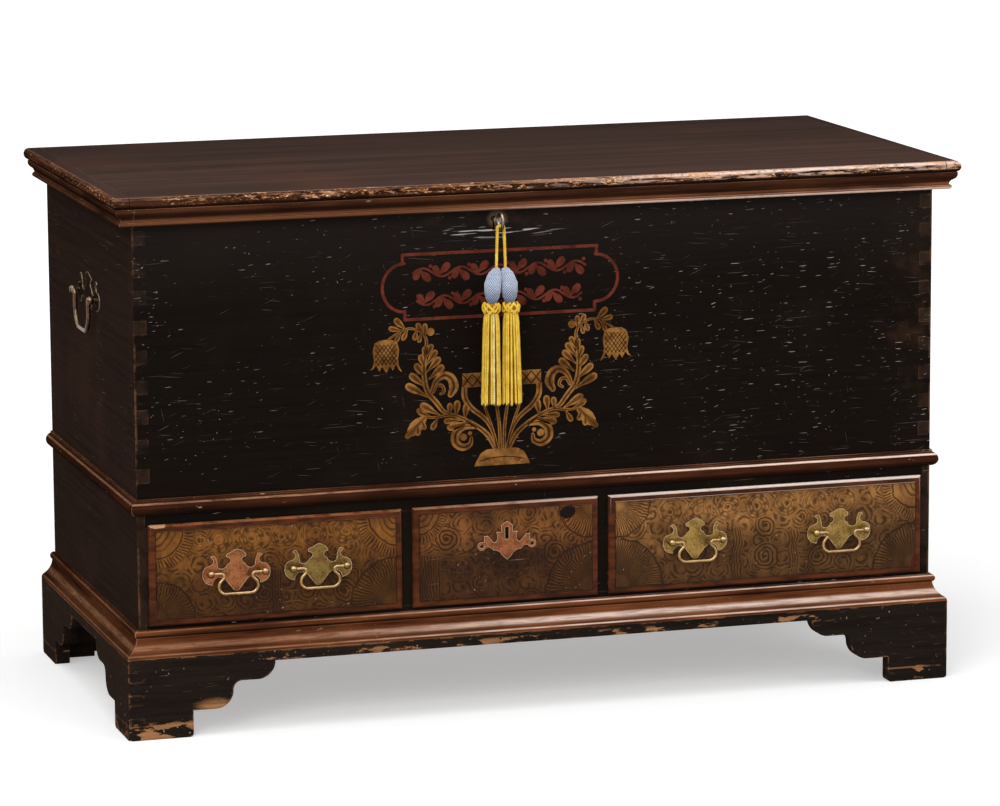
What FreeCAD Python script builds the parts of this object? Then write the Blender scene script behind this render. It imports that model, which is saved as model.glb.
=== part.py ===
"""Painted mule chest: a lidded chest over three drawers on bracket feet.

Millimetres. +X runs to the right along the front, -Y faces the viewer and +Z is up. The origin lies on the
floor under the middle of the chest.
"""
import FreeCAD, Part
import math
import os
import Sketcher
from types import SimpleNamespace

doc = FreeCAD.newDocument("MuleChest")

DIMENSIONS = {
    # Case boards
    "case_width": 1220,
    "case_depth": 585,
    "case_top": 771,
    "case_bottom": 110,
    "board": 22,
    "side_board": 19,
    "floor_board": 19,
    "dado": 8,
    "front_bottom": 337,
    "rail_height": 30,
    "rail_depth": 70,
    "opening_bottom": 166,
    "divider": 24,
    "divider_left": -209,
    "divider_right": 91.5,
    # Dovetails of the case
    "tail_width": 20,
    "tail_flare": 3.4,
    "tail_margin": 45,
    "front_tails": 9,
    "back_tails": 14,
    # Waist moulding
    "waist_top": 349,
    "waist_height": 24,
    "waist_quirk": 3,
    "waist_torus": 7.5,
    # Base moulding
    "base_top": 158,
    "bead": 6,
    "bead_root": 2,
    "cove_root": 4.8,
    "cove_height": 20,
    "cove_radius": 27,
    "shoulder_width": 3.5,
    "shoulder_height": 6,
    "shoulder_radius": 7,
    # Skirts and feet
    "skirt_top": 119,
    "skirt": 22,
    "foot_width": 95,
    "foot_step": 39,
    "foot_round": 6,
    "tread_low": 34,
    "tread_high": 24,
    "ovolo": 26,
    "cove": 13,
    "skirt_tails": 3,
    "skirt_margin": 26,
    "skirt_tail_width": 15,
    "rear_bracket": 75,
    "rear_rise": 60,
    "foot_block": 45,
    "foot_block_lift": 3,
    # Till
    "till_width": 140,
    "till_depth": 120,
    "till_drop": 34,
    "till_board": 10,
    # Lid
    "lid_board": 17,
    "lid_reach": 33,
    "lid_back": 10,
    "lid_round": 8,
    "cleat": 24,
    "tongue": 8,
    "tongue_thickness": 6,
    "tongue_stop": 30,
    "lid_gap": 1.5,
    "lid_moulding_height": 26,
    "lid_moulding_reach": 29,
    "lid_fillet": 3.5,
    "lid_neck": 19,
    "lid_bead": 3.5,
    # Hinges
    "hinge_place": 390,
    "hinge_width": 34,
    "hinge_plate": 3,
    "hinge_length": 210,
    "hinge_tip": 12,
    "pad_length": 100,
    "barrel": 12,
    "hinge_pin": 5,
    "hinge_play": 0.05,
    "barrel_gap": 0.5,
    "recess_play": 0.3,
    # Lock, staple and key
    "key_x": -73,
    "key_drop": 41,
    "lock_half": 36,
    "lock_below": 20,
    "lock_mortise": 13,
    "lock_plate": 2.5,
    "staple_width": 8,
    "staple_thickness": 5,
    "staple_length": 30,
    "staple_offset": 6,
    "staple_wall": 1.2,
    "bolt_height": 7,
    "bolt_width": 4.5,
    "bolt_length": 30,
    "bolt_lift": 18,
    "bolt_play": 0.2,
    "keyhole": 9,
    "keyway": 4.4,
    "keyway_play": 1,
    "shank": 7,
    "key_pivot": 5,
    "key_play": 0.05,
    "key_bit": 16,
    "bit_width": 9,
    "bit_thickness": 3,
    "bow_radius": 11.5,
    "bow_wire": 4.8,
    "bow_stand": 33,
    "key_collar": 12,
    # Tassel
    "cord": 5,
    "cord_play": 0.3,
    "tassel_spacing": 31,
    "cord_fall": 58.5,
    "head_height": 51,
    "head_neck": 5,
    "head_bulge": 12.6,
    "head_bulge_low": 11,
    "head_bulge_high": 30,
    "collar_height": 17,
    "collar_radius": 13.8,
    "collar_neck": 9.5,
    "collar_chamfer": 5,
    "fringe_length": 134,
    "fringe_top": 12.5,
    "fringe_end": 13.8,
    # Side handles
    "handle_below": 167,
    "handle_bore": 120,
    "handle_drop": 51,
    "handle_rod": 6.5,
    "handle_plate_half": 75,
    "handle_stand": 10,
    "handle_ball": 12,
    "handle_pin": 8,
    "handle_bend": 6,
    "handle_round": 30,
    # Drawers
    "drawer_gap": 1.5,
    "drawer_lift": 0.5,
    "drawer_stop": 33,
    "lip": 4,
    "lip_thickness": 6.5,
    "lip_round": 5,
    "field_inset": 10,
    "field_height": 1.5,
    "front_block": 14,
    "drawer_board": 12,
    "drawer_side_drop": 8,
    "drawer_tail": 10,
    "drawer_tail_width": 24,
    "drawer_tail_flare": 2,
    "drawer_tails": 3,
    "drawer_margin": 24,
    "panel": 8,
    "panel_lift": 9,
    "groove": 6,
    # Drawer pulls
    "left_pulls": 61,
    "right_pulls": 114,
    "pull_bore": 80,
    "pull_ball": 11,
    "pull_stem": 7,
    "pull_stand": 11,
    "pull_rod": 4.5,
    "pull_play": 0.05,
    "bail_inset": 14.5,
    "bail_bend": 4.5,
    "bail_round": 11,
    "bail_drop": 30,
    "plate": 1.5,
    "plate_half": 50,
    "plate_above": 33,
    "plate_below": 28,
    # Drawer lock
    "drawer_keyhole_rise": 36,
    "drawer_keyhole": 6,
    "drawer_keyway": 5.6,
    "drawer_keyway_drop": 15,
    "shield_half": 45,
    "shield_above": 11.5,
    "shield_below": 46,
    "shield_loop": 6,
    "drawer_lock_half": 25,
    "drawer_lock_height": 42,
    "drawer_lock_depth": 12,
    "drawer_bolt_half": 8,
    "drawer_bolt_depth": 6,
    "drawer_bolt_length": 26,
    "drawer_bolt_throw": 10,
    "drawer_lock_drop": 2,
    "seat_play": 1,
}

SHEET = "Dims"
DIAGONAL = math.sqrt(0.5)
# How far a cutting block runs past what it cuts
OVERCUT = 1
# How near two edges lie to count as one
TINY = 0.01
# An arc's radius over its chord: an easy curve, a full one, and nearly a half circle
EASY, FULL, ROUND = 1, 0.85, 0.55

sheet = doc.addObject("Spreadsheet::Sheet", SHEET)
for row, (alias, number) in enumerate(DIMENSIONS.items(), 1):
    sheet.set(f"A{row}", alias)
    sheet.set(f"B{row}", str(number))
    sheet.setAlias(f"B{row}", alias)
doc.recompute()


class Size:
    """A length that knows its value now and the spreadsheet expression that drives it."""

    def __init__(self, value, text):
        self.value = value
        self.text = text

    def join(self, other, sign, value):
        return Size(value, f"({self.text} {sign} {as_size(other).text})")

    def __add__(self, other):
        return self.join(other, "+", self.value + as_size(other).value)

    def __radd__(self, other):
        return as_size(other) + self

    def __sub__(self, other):
        return self.join(other, "-", self.value - as_size(other).value)

    def __rsub__(self, other):
        return as_size(other) - self

    def __mul__(self, other):
        return self.join(other, "*", self.value * as_size(other).value)

    def __rmul__(self, other):
        return as_size(other) * self

    def __truediv__(self, other):
        return self.join(other, "/", self.value / as_size(other).value)

    def __neg__(self):
        return Size(-self.value, f"(0 - {self.text})")


def as_size(number):
    """A plain number stands for itself."""
    return number if isinstance(number, Size) else Size(float(number), repr(float(number)))


def hypotenuse(a, b):
    """The length of a slanting side."""
    return Size(math.hypot(a.value, b.value), f"sqrt({a.text} * {a.text} + {b.text} * {b.text})")


def cathetus(c, a):
    """The third side of a right triangle with hypotenuse c."""
    return Size(math.sqrt(c.value**2 - a.value**2), f"sqrt({c.text} * {c.text} - {a.text} * {a.text})")


d = SimpleNamespace(**{name: Size(float(sheet.get(name)), f"{SHEET}.{name}") for name in DIMENSIONS})

# Planes that many pieces share
half = d.case_width / 2
inner_half = half - d.side_board
key_reach = d.bow_stand + d.bow_radius + d.bow_wire / 2
hinge_out = d.barrel / 2 + d.barrel_gap
front = (key_reach - hinge_out - d.barrel / 2 - d.case_depth) / 2
back = front + d.case_depth
inner_front = front + d.board
inner_back = back - d.board
rail_bottom = d.front_bottom - d.rail_height
floor_bottom = d.front_bottom - d.floor_board
lid_top = d.case_top + d.lid_board
key_z = d.case_top - d.key_drop
middle_x = (d.divider_left + d.divider_right) / 2
bolt_y = (
    front + d.front_block + (d.drawer_lock_depth - d.drawer_bolt_depth) / 2,
    front + d.front_block + (d.drawer_lock_depth + d.drawer_bolt_depth) / 2,
)
ORIGIN = as_size(0)
# Length of each cord along its middle
cord_runs = {}


def bind(obj, **sizes):
    """Drives properties of an object from sizes."""
    for name, amount in sizes.items():
        obj.setExpression(name, as_size(amount).text)


def place(obj, x=ORIGIN, y=ORIGIN, z=ORIGIN, turn=None):
    """Puts an object at a point, turned by a rotation."""
    if turn is not None:
        obj.Placement = FreeCAD.Placement(FreeCAD.Vector(), turn)
    for axis, amount in zip("xyz", (x, y, z)):
        obj.setExpression(f"Placement.Base.{axis}", as_size(amount).text)
    return obj


def about(axis, degrees):
    return FreeCAD.Rotation(FreeCAD.Vector(*axis), degrees)


FACE_FRONT = about((1, 0, 0), 90)
FACE_LEFT = about((0, 1, 0), -90)
FACE_RIGHT = about((0, 1, 0), 90)
LIE_ALONG_Y = about((1, 0, 0), -90)
FACE_END = FreeCAD.Rotation(FreeCAD.Vector(0, 1, 0), FreeCAD.Vector(0, 0, 1), FreeCAD.Vector(1, 0, 0), "ZXY")


def board(name, x, y, z):
    """A square board between pairs of planes."""
    block = doc.addObject("Part::Box", name)
    for side, axis, (low, high) in zip(("Length", "Width", "Height"), "xyz", (x, y, z)):
        block.setExpression(side, (as_size(high) - low).text)
        block.setExpression(f"Placement.Base.{axis}", as_size(low).text)
    return block


def rod(name, start, length, diameter, turn):
    """A round bar from a point, pointing along +Z before it is turned."""
    bar = doc.addObject("Part::Cylinder", name)
    bind(bar, Radius=as_size(diameter) / 2, Height=length)
    return place(bar, *start, turn=turn)


def cut(name, base, *tools):
    """A piece less the pieces that are let into it."""
    result = doc.addObject("Part::Cut", name)
    result.Base = base
    result.Tool = tools[0] if len(tools) == 1 else group(f"{name}_tools", *tools)
    return result


def common(name, base, tool):
    result = doc.addObject("Part::Common", name)
    result.Base = base
    result.Tool = tool
    return result


def fuse(name, *pieces):
    """Pieces that are forged or turned from one bar."""
    result = doc.addObject("Part::MultiFuse", name)
    result.Shapes = list(pieces)
    return result


def group(name, *pieces):
    """Separate solids that share a node."""
    result = doc.addObject("Part::Compound", name)
    result.Links = list(pieces)
    return result


def arc_between(start, end, radius, turn):
    """The smaller arc between two points, and whether it is drawn from its start."""
    chord = end - start
    rise = math.sqrt(max(radius**2 - (chord.Length / 2) ** 2, 0.0))
    normal = FreeCAD.Vector(-chord.y, chord.x, 0).normalize()
    centre = (start + end) / 2 + normal * rise * turn
    first, last = (start, end) if turn > 0 else (end, start)
    angles = [math.atan2(p.y - centre.y, p.x - centre.x) for p in (first, last)]
    if angles[1] < angles[0]:
        angles[1] += 2 * math.pi
    circle = Part.Circle(centre, FreeCAD.Vector(0, 0, 1), radius)
    return Part.ArcOfCircle(circle, *angles), turn > 0


def draw(sketch, points, closed=True):
    """Draws lines and arcs through points.

    A point is (u, v), or (u, v, radius, turn) where an arc arrives at it, turning left (1) or right (-1).
    """
    points = [tuple(as_size(number) for number in point[:3]) + tuple(point[3:]) for point in points]
    spots = [FreeCAD.Vector(u.value, v.value, 0) for u, v, *_ in points]
    ends = {}
    count = len(points)
    for to in range(0 if closed else 1, count):
        start, end = spots[to - 1], spots[to]
        if len(points[to]) == 2:
            line = sketch.addGeometry(Part.LineSegment(start, end))
            out, into = (line, 1), (line, 2)
        else:
            radius, turn = points[to][2:]
            curve, forward = arc_between(start, end, radius.value, turn)
            edge = sketch.addGeometry(curve)
            out, into = ((edge, 1), (edge, 2)) if forward else ((edge, 2), (edge, 1))
            rule = sketch.addConstraint(Sketcher.Constraint("Radius", edge, radius.value))
            sketch.setExpression(f"Constraints[{rule}]", radius.text)
        ends.setdefault((to - 1) % count, []).append(out)
        ends.setdefault(to, []).append(into)
    for number, joined in ends.items():
        if len(joined) == 2:
            sketch.addConstraint(Sketcher.Constraint("Coincident", *joined[0], *joined[1]))
        pin_point(sketch, joined[0], points[number])


def pin_point(sketch, corner, point):
    """Holds a corner of a sketch at its two distances from the axes."""
    for kind, axis, amount in (("DistanceX", -2, point[0]), ("DistanceY", -1, point[1])):
        if amount.text == ORIGIN.text:
            sketch.addConstraint(Sketcher.Constraint("PointOnObject", *corner, axis))
        else:
            rule = sketch.addConstraint(Sketcher.Constraint(kind, -1, 1, *corner, amount.value))
            sketch.setExpression(f"Constraints[{rule}]", amount.text)


def mirrored(points, middle=ORIGIN):
    """Completes an outline that is alike on both sides of u = middle."""
    whole = list(points)
    arc = ()
    for point in reversed(points):
        if point[0] is not middle:
            whole.append((2 * as_size(middle) - point[0], point[1]) + arc)
        arc = tuple(point[2:])
    return whole


def bowed(start, end, swell, turn):
    """A point that an arc arrives at, with a radius that follows the distance from the last point."""
    chord = hypotenuse(as_size(end[0]) - start[0], as_size(end[1]) - start[1])
    return (end[0], end[1], chord * swell, turn)


def free_sketch(name, points, x=ORIGIN, y=ORIGIN, z=ORIGIN, turn=None, closed=True):
    sketch = doc.addObject("Sketcher::SketchObject", name)
    draw(sketch, points, closed)
    return place(sketch, x, y, z, turn)


def body_sketch(body, name, plane, points, lift=ORIGIN):
    """A sketch on one of a body's own planes, lifted along the plane's normal."""
    sketch = body.newObject("Sketcher::SketchObject", name)
    origin_plane = next(f for f in body.Origin.OriginFeatures if f.Role == plane)
    sketch.AttachmentSupport = (origin_plane, [""])
    sketch.MapMode = "FlatFace"
    sketch.setExpression("AttachmentOffset.Base.z", as_size(lift).text)
    draw(sketch, points)
    return sketch


def feature(body, kind, name, sketch, length, reverse=False):
    """A pad or pocket of a sketch."""
    made = body.newObject(f"PartDesign::{kind}", name)
    made.Profile = sketch
    made.Reversed = reverse
    bind(made, Length=length)
    body.Tip = made
    return made


def new_body(name):
    return doc.addObject("PartDesign::Body", name)


def sawn(name, plane, points, lift, thickness):
    """A board sawn to an outline: its sketch lies on a plane, lifted along the normal."""
    body = new_body(name)
    sketch = body_sketch(body, f"{name}_outline", plane, points, lift)
    feature(body, "Pad", f"{name}_pad", sketch, thickness)
    return body


def turned(name, profile, x, y, z, turn=None):
    """A round piece: its profile is (radius, height) from the axis and back to it."""
    body = new_body(name)
    sketch = body_sketch(body, f"{name}_profile", "XZ_Plane", profile)
    spin = body.newObject("PartDesign::Revolution", f"{name}_turn")
    spin.Profile = sketch
    spin.ReferenceAxis = (sketch, ["V_Axis"])
    spin.Angle = 360
    body.Tip = spin
    return place(body, x, y, z, turn)


def rectangle(u, v):
    return [(u[0], v[0]), (u[1], v[0]), (u[1], v[1]), (u[0], v[1])]


def swept(name, section, path, corners="Transformed"):
    """A profile drawn along a whole path."""
    sweep = doc.addObject("Part::Sweep", name)
    sweep.Sections = [section]
    sweep.Spine = (path, [f"Edge{number}" for number in range(1, path.GeometryCount + 1)])
    sweep.Solid = True
    sweep.Frenet = False
    sweep.Transition = corners
    return sweep


def round_section(name, diameter, x, y, z, turn=None):
    """A circle to sweep."""
    sketch = doc.addObject("Sketcher::SketchObject", name)
    radius = as_size(diameter) / 2
    sketch.addGeometry(Part.Circle(FreeCAD.Vector(), FreeCAD.Vector(0, 0, 1), radius.value))
    sketch.addConstraint(Sketcher.Constraint("Coincident", 0, 3, -1, 1))
    rule = sketch.addConstraint(Sketcher.Constraint("Radius", 0, radius.value))
    sketch.setExpression(f"Constraints[{rule}]", radius.text)
    return place(sketch, x, y, z, turn)


def tail_sockets(body, name, x, reach, y_wide, y_narrow, z_first, width, flare, count, pitch):
    """Cuts a row of dovetail sockets into both ends of a board; x is the pair of end planes."""
    z_low = z_first - width / 2
    z_high = z_first + width / 2
    outline = [(y_wide, z_low), (y_narrow, z_low + flare), (y_narrow, z_high - flare), (y_wide, z_high)]
    pockets = []
    for side, plane in zip(("left", "right"), x):
        sketch = body_sketch(body, f"{name}_{side}_socket", "YZ_Plane", outline, plane)
        pocket = feature(body, "Pocket", f"{name}_{side}_pocket", sketch, reach, side == "left")
        pockets.append(pocket)
    row = body.newObject("PartDesign::LinearPattern", f"{name}_row")
    row.Originals = pockets
    row.Direction = (next(f for f in body.Origin.OriginFeatures if f.Role == "Z_Axis"), [""])
    bind(row, Length=pitch * (as_size(count) - 1), Occurrences=count)
    body.Tip = row


def pin_board(name, x, y_wide, y_narrow, z, thickness, reach, margin, width, flare, count):
    """A board with dovetail pins at both ends: the tails of its neighbours are wide at y_wide."""
    body = new_body(name)
    rear = y_narrow if y_narrow.value > y_wide.value else y_wide
    sketch = body_sketch(body, f"{name}_outline", "XZ_Plane", rectangle(x, z), -rear)
    feature(body, "Pad", f"{name}_pad", sketch, thickness)
    pitch = (z[1] - z[0] - 2 * margin) / (count - 1)
    tail_sockets(body, name, x, reach, y_wide, y_narrow, z[0] + margin, width, flare, count, pitch)
    return body


def keyhole_outline(x, z, diameter, width, drop):
    """A round hole with a slot under it."""
    radius = as_size(diameter) / 2
    slot = as_size(width) / 2
    shoulder = z - cathetus(radius, slot)
    top = z + radius
    return [
        (x + slot, z - drop),
        (x + slot, shoulder),
        (x, top, radius, 1),
        (x - slot, shoulder, radius, 1),
        (x - slot, z - drop),
    ]


def moulded(name, profile, level, split_x=None, reach=None):
    """A moulding round the front and both ends of the case, its front length apart from its end lengths.

    The profile is in (distance out from the case, height). The lengths are mitred over reach, or butted at
    split_x.
    """
    section = [(-half - out, height, *arc) for out, height, *arc in profile]
    start = free_sketch(f"{name}_profile", section, y=back, turn=FACE_FRONT)
    course = [(-half, back), (-half, front), (half, front), (half, back)]
    path = free_sketch(f"{name}_path", course, z=level[0], closed=False)
    whole = swept(f"{name}_whole", start, path, "Right corner")
    if split_x is None:
        mitre = [(-half - reach, front - reach), (half + reach, front - reach), (half, front), (-half, front)]
        block = sawn(f"{name}_mitre", "XY_Plane", mitre, level[0], level[1] - level[0])
    else:
        block = board(f"{name}_butt", (-split_x, split_x), (front - d.lid_reach, front), level)
    ends = cut(f"{name}_ends", whole, block)
    return group(name, common(f"{name}_front", whole, block), ends)


def case_boards():
    """The dovetailed box, its floors, rail and dividers."""
    x_ends = (-half, half)
    front_blank = pin_board(
        "front_blank", x_ends, front, inner_front, (d.front_bottom, d.case_top), d.board, d.side_board,
        d.tail_margin, d.tail_width, d.tail_flare, d.front_tails,
    )
    mortise = rectangle((d.key_x - d.lock_half, d.key_x + d.lock_half), (key_z - d.lock_below, d.case_top))
    sketch = body_sketch(front_blank, "lock_mortise", "XZ_Plane", mortise, -inner_front)
    feature(front_blank, "Pocket", "lock_mortise_cut", sketch, d.lock_mortise, True)
    hole = keyhole_outline(d.key_x, key_z, d.keyhole, d.keyway, d.key_bit + d.keyway_play)
    sketch = body_sketch(front_blank, "chest_keyhole", "XZ_Plane", hole, -inner_front)
    feature(front_blank, "Pocket", "chest_keyhole_cut", sketch, d.board, True)

    back_blank = pin_board(
        "back_blank", x_ends, back, inner_back, (d.case_bottom, d.case_top), d.board, d.side_board,
        d.tail_margin, d.tail_width, d.tail_flare, d.back_tails,
    )
    let_in = d.hinge_width / 2 + d.recess_play
    recesses = [
        board(
            f"hinge_recess_{side}", (x - let_in, x + let_in), (inner_back, back),
            (d.case_top - d.hinge_plate - d.recess_play, d.case_top),
        )
        for side, x in (("left", -d.hinge_place), ("right", d.hinge_place))
    ]
    back_board = cut("back_board", back_blank, *recesses)

    housed = (-inner_half - d.dado, inner_half + d.dado)
    rail_back = front + d.rail_depth
    chest_floor = board("chest_floor", housed, (rail_back, inner_back), (floor_bottom, d.front_bottom))
    seat_half = d.drawer_bolt_half + d.seat_play
    bolt_seat = board(
        "bolt_seat", (middle_x - seat_half, middle_x + seat_half),
        (bolt_y[0] - d.seat_play, bolt_y[1] + d.seat_play), (rail_bottom, rail_bottom + d.drawer_bolt_throw),
    )
    rail_blank = board("rail_blank", housed, (front, rail_back), (rail_bottom, d.front_bottom))
    drawer_rail = cut("drawer_rail", rail_blank, bolt_seat)
    bottom_board = board(
        "bottom_board", housed, (front, inner_back), (d.opening_bottom - d.floor_board, d.opening_bottom)
    )
    sides = {}
    for name, x in (("left_side", (-half, -inner_half)), ("right_side", (inner_half, half))):
        blank = board(f"{name}_blank", x, (front, back), (d.case_bottom, d.case_top))
        sides[name] = cut(name, blank, front_blank, back_blank, chest_floor, rail_blank, bottom_board)
    dividers = {}
    outline = [
        (front, d.opening_bottom), (inner_back, d.opening_bottom), (inner_back, floor_bottom),
        (rail_back, floor_bottom), (rail_back, rail_bottom), (front, rail_bottom),
    ]
    for name, x in (("left_divider", d.divider_left), ("right_divider", d.divider_right)):
        dividers[name] = sawn(name, "YZ_Plane", outline, x - d.divider / 2, d.divider)
    wall_x = d.till_width - inner_half
    till_z = (d.case_top - d.till_drop - d.till_depth, d.case_top - d.till_drop)
    till_wall = board("till_wall", (wall_x, wall_x + d.till_board), (inner_front, inner_back), till_z)
    till_bottom = board(
        "till_bottom", (-inner_half, wall_x), (inner_front, inner_back), (till_z[0], till_z[0] + d.till_board)
    )
    return {
        "front_board": front_blank, "back_board": back_board, **sides, "chest_floor": chest_floor,
        "drawer_rail": drawer_rail, "bottom_board": bottom_board, **dividers,
        "till_wall": till_wall, "till_bottom": till_bottom,
    }


def mouldings():
    """Waist and base mouldings, mitred at the front corners."""
    waist_bottom = d.waist_top - d.waist_height
    torus_top = d.waist_top - d.waist_quirk
    torus_radius = (torus_top - waist_bottom) / 2
    bulge = (torus_radius * torus_radius + d.waist_torus * d.waist_torus) / (2 * d.waist_torus)
    waist = [
        (ORIGIN, waist_bottom),
        (d.waist_quirk, waist_bottom),
        (d.waist_quirk, torus_top, bulge, -1),
        (d.waist_quirk, d.waist_top),
        (ORIGIN, d.waist_top),
    ]
    waist_reach = d.waist_quirk + d.waist_torus + OVERCUT
    bead_bottom = d.base_top - 2 * d.bead
    bead_middle = d.base_top - d.bead
    shoulder = d.skirt - d.shoulder_width
    shoulder_top = d.skirt_top + d.shoulder_height
    base = [
        (ORIGIN, d.skirt_top),
        (d.skirt, d.skirt_top),
        (shoulder, shoulder_top, d.shoulder_radius, -1),
        (d.cove_root, shoulder_top + d.cove_height, d.cove_radius, 1),
        (d.cove_root, bead_bottom),
        (d.bead_root, bead_bottom),
        (d.bead_root + d.bead, bead_middle, d.bead, -1),
        (d.bead_root, d.base_top, d.bead, -1),
        (ORIGIN, d.base_top),
    ]
    return {
        "waist_moulding": moulded("waist_moulding", waist, (waist_bottom, d.waist_top), reach=waist_reach),
        "base_moulding": moulded("base_moulding", base, (d.skirt_top, d.base_top), reach=d.skirt + OVERCUT),
    }


def bracket_outline(low, high):
    """A skirt with a bracket foot at each end, between two end planes."""
    foot = low + d.foot_width
    first = foot + d.tread_low
    second = first + d.ovolo + d.cove + d.tread_high
    shelf = d.foot_step + d.ovolo + d.cove
    half_outline = [
        (low, d.skirt_top),
        (low, d.foot_round),
        (low + d.foot_round, ORIGIN, d.foot_round, 1),
        (foot - d.foot_round, ORIGIN),
        (foot, d.foot_round, d.foot_round, 1),
        (foot, d.foot_step),
        (first, d.foot_step),
        (first + d.ovolo, d.foot_step + d.ovolo, d.ovolo, 1),
        (first + d.ovolo + d.cove, shelf, d.cove, -1),
        (second, shelf),
        (second + d.ovolo, shelf + d.ovolo, d.ovolo, 1),
    ]
    return mirrored(half_outline, (low + high) / 2)


def skirts():
    """Bracket feet: a front skirt dovetailed to two side skirts, rear brackets and the blocks behind them."""
    outer = half + d.skirt
    skirt_front = sawn("skirt_front", "XZ_Plane", bracket_outline(-outer, outer), -front, d.skirt)
    pitch = (d.skirt_top - 2 * d.skirt_margin) / (d.skirt_tails - 1)
    tail_sockets(
        skirt_front, "skirt_front", (-outer, outer), d.skirt, front - d.skirt, front, d.skirt_margin,
        d.skirt_tail_width, d.tail_flare, d.skirt_tails, pitch,
    )
    made = {"skirt_front": skirt_front}
    for name, x in (("skirt_left", -outer), ("skirt_right", half)):
        blank = sawn(f"{name}_blank", "YZ_Plane", bracket_outline(front - d.skirt, back), x, d.skirt)
        made[name] = cut(name, blank, skirt_front)
    brackets = []
    blocks = []
    for side, sign in (("left", -1), ("right", 1)):
        edge = half * sign
        toe = (half - d.rear_bracket) * sign
        heel = (half - d.rear_bracket - d.rear_rise) * sign
        outline = [
            (edge, ORIGIN), (toe, ORIGIN), (toe, d.foot_step),
            bowed((toe, d.foot_step), (heel, d.case_bottom - d.foot_round), FULL, -sign),
            (heel, d.case_bottom), (edge, d.case_bottom),
        ]
        brackets.append(sawn(f"rear_bracket_{side}", "XZ_Plane", outline, -back, d.board))
        inside = (half - d.foot_block) * sign
        x = (edge, inside) if sign < 0 else (inside, edge)
        for end, y in (("front", front), ("back", inner_back - d.foot_block)):
            z = (d.foot_block_lift, d.case_bottom)
            blocks.append(board(f"foot_block_{side}_{end}", x, (y, y + d.foot_block), z))
    made["rear_brackets"] = group("rear_brackets", *brackets)
    made["foot_blocks"] = group("foot_blocks", *blocks)
    return made


def edges_where(shape, test):
    """Names of the edges whose middle passes a test."""
    return [
        f"Edge{number}"
        for number, edge in enumerate(shape.Edges, 1)
        if test(edge.valueAt((edge.FirstParameter + edge.LastParameter) / 2), edge)
    ]


def rounded(body, name, radius, test):
    """Rounds the edges of a body's newest solid that pass a test."""
    doc.recompute()
    base = body.Tip
    fillet = body.newObject("PartDesign::Fillet", name)
    fillet.Base = (base, edges_where(base.Shape, test))
    bind(fillet, Radius=radius)
    body.Tip = fillet


def lid():
    """A nosed board between end cleats, with a moulding under its edge."""
    edge = half + d.lid_reach
    front_edge = front - d.lid_reach
    back_edge = back + d.lid_back
    outline = rectangle((-edge, edge), (front_edge, back_edge))
    blank = sawn("lid_blank", "XY_Plane", outline, d.case_top, d.lid_board)

    def nosed(middle, line):
        level = abs(line.tangentAt(line.FirstParameter).z) < TINY
        return level and middle.y < back_edge.value - TINY

    rounded(blank, "lid_nosing", d.lid_round, nosed)
    joint = edge - d.cleat
    core = board("lid_core", (-joint, joint), (front_edge, back_edge), (d.case_top, lid_top))
    tongue_z = d.case_top + (d.lid_board - d.tongue_thickness) / 2
    tongue_y = (front_edge + d.tongue_stop, back_edge)
    tongues = [
        board(f"tongue_{side}", x, tongue_y, (tongue_z, tongue_z + d.tongue_thickness))
        for side, x in (("left", (-joint - d.tongue, -joint)), ("right", (joint, joint + d.tongue)))
    ]
    lid_board = fuse("lid_board", common("lid_middle", blank, core), *tongues)
    cleats = cut("lid_cleats", cut("lid_ends", blank, core), *tongues)

    low = d.case_top - d.lid_moulding_height
    bead_middle = low + d.lid_bead
    bead_top = low + 2 * d.lid_bead
    wave_top = d.case_top - d.lid_fillet
    wave = ((d.lid_moulding_reach + d.lid_neck) / 2, (wave_top + bead_top) / 2)
    profile = [
        (d.lid_gap, low),
        (d.lid_neck, low),
        (d.lid_neck + d.lid_bead, bead_middle, d.lid_bead, -1),
        (d.lid_neck, bead_top, d.lid_bead, -1),
        bowed((d.lid_neck, bead_top), wave, EASY, 1),
        bowed(wave, (d.lid_moulding_reach, wave_top), EASY, -1),
        (d.lid_moulding_reach, d.case_top),
        (d.lid_gap, d.case_top),
    ]
    moulding = moulded("lid_moulding", profile, (low, d.case_top), split_x=half + d.lid_gap)
    return {"lid_board": lid_board, "lid_cleats": cleats, "lid_moulding": moulding}


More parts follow.
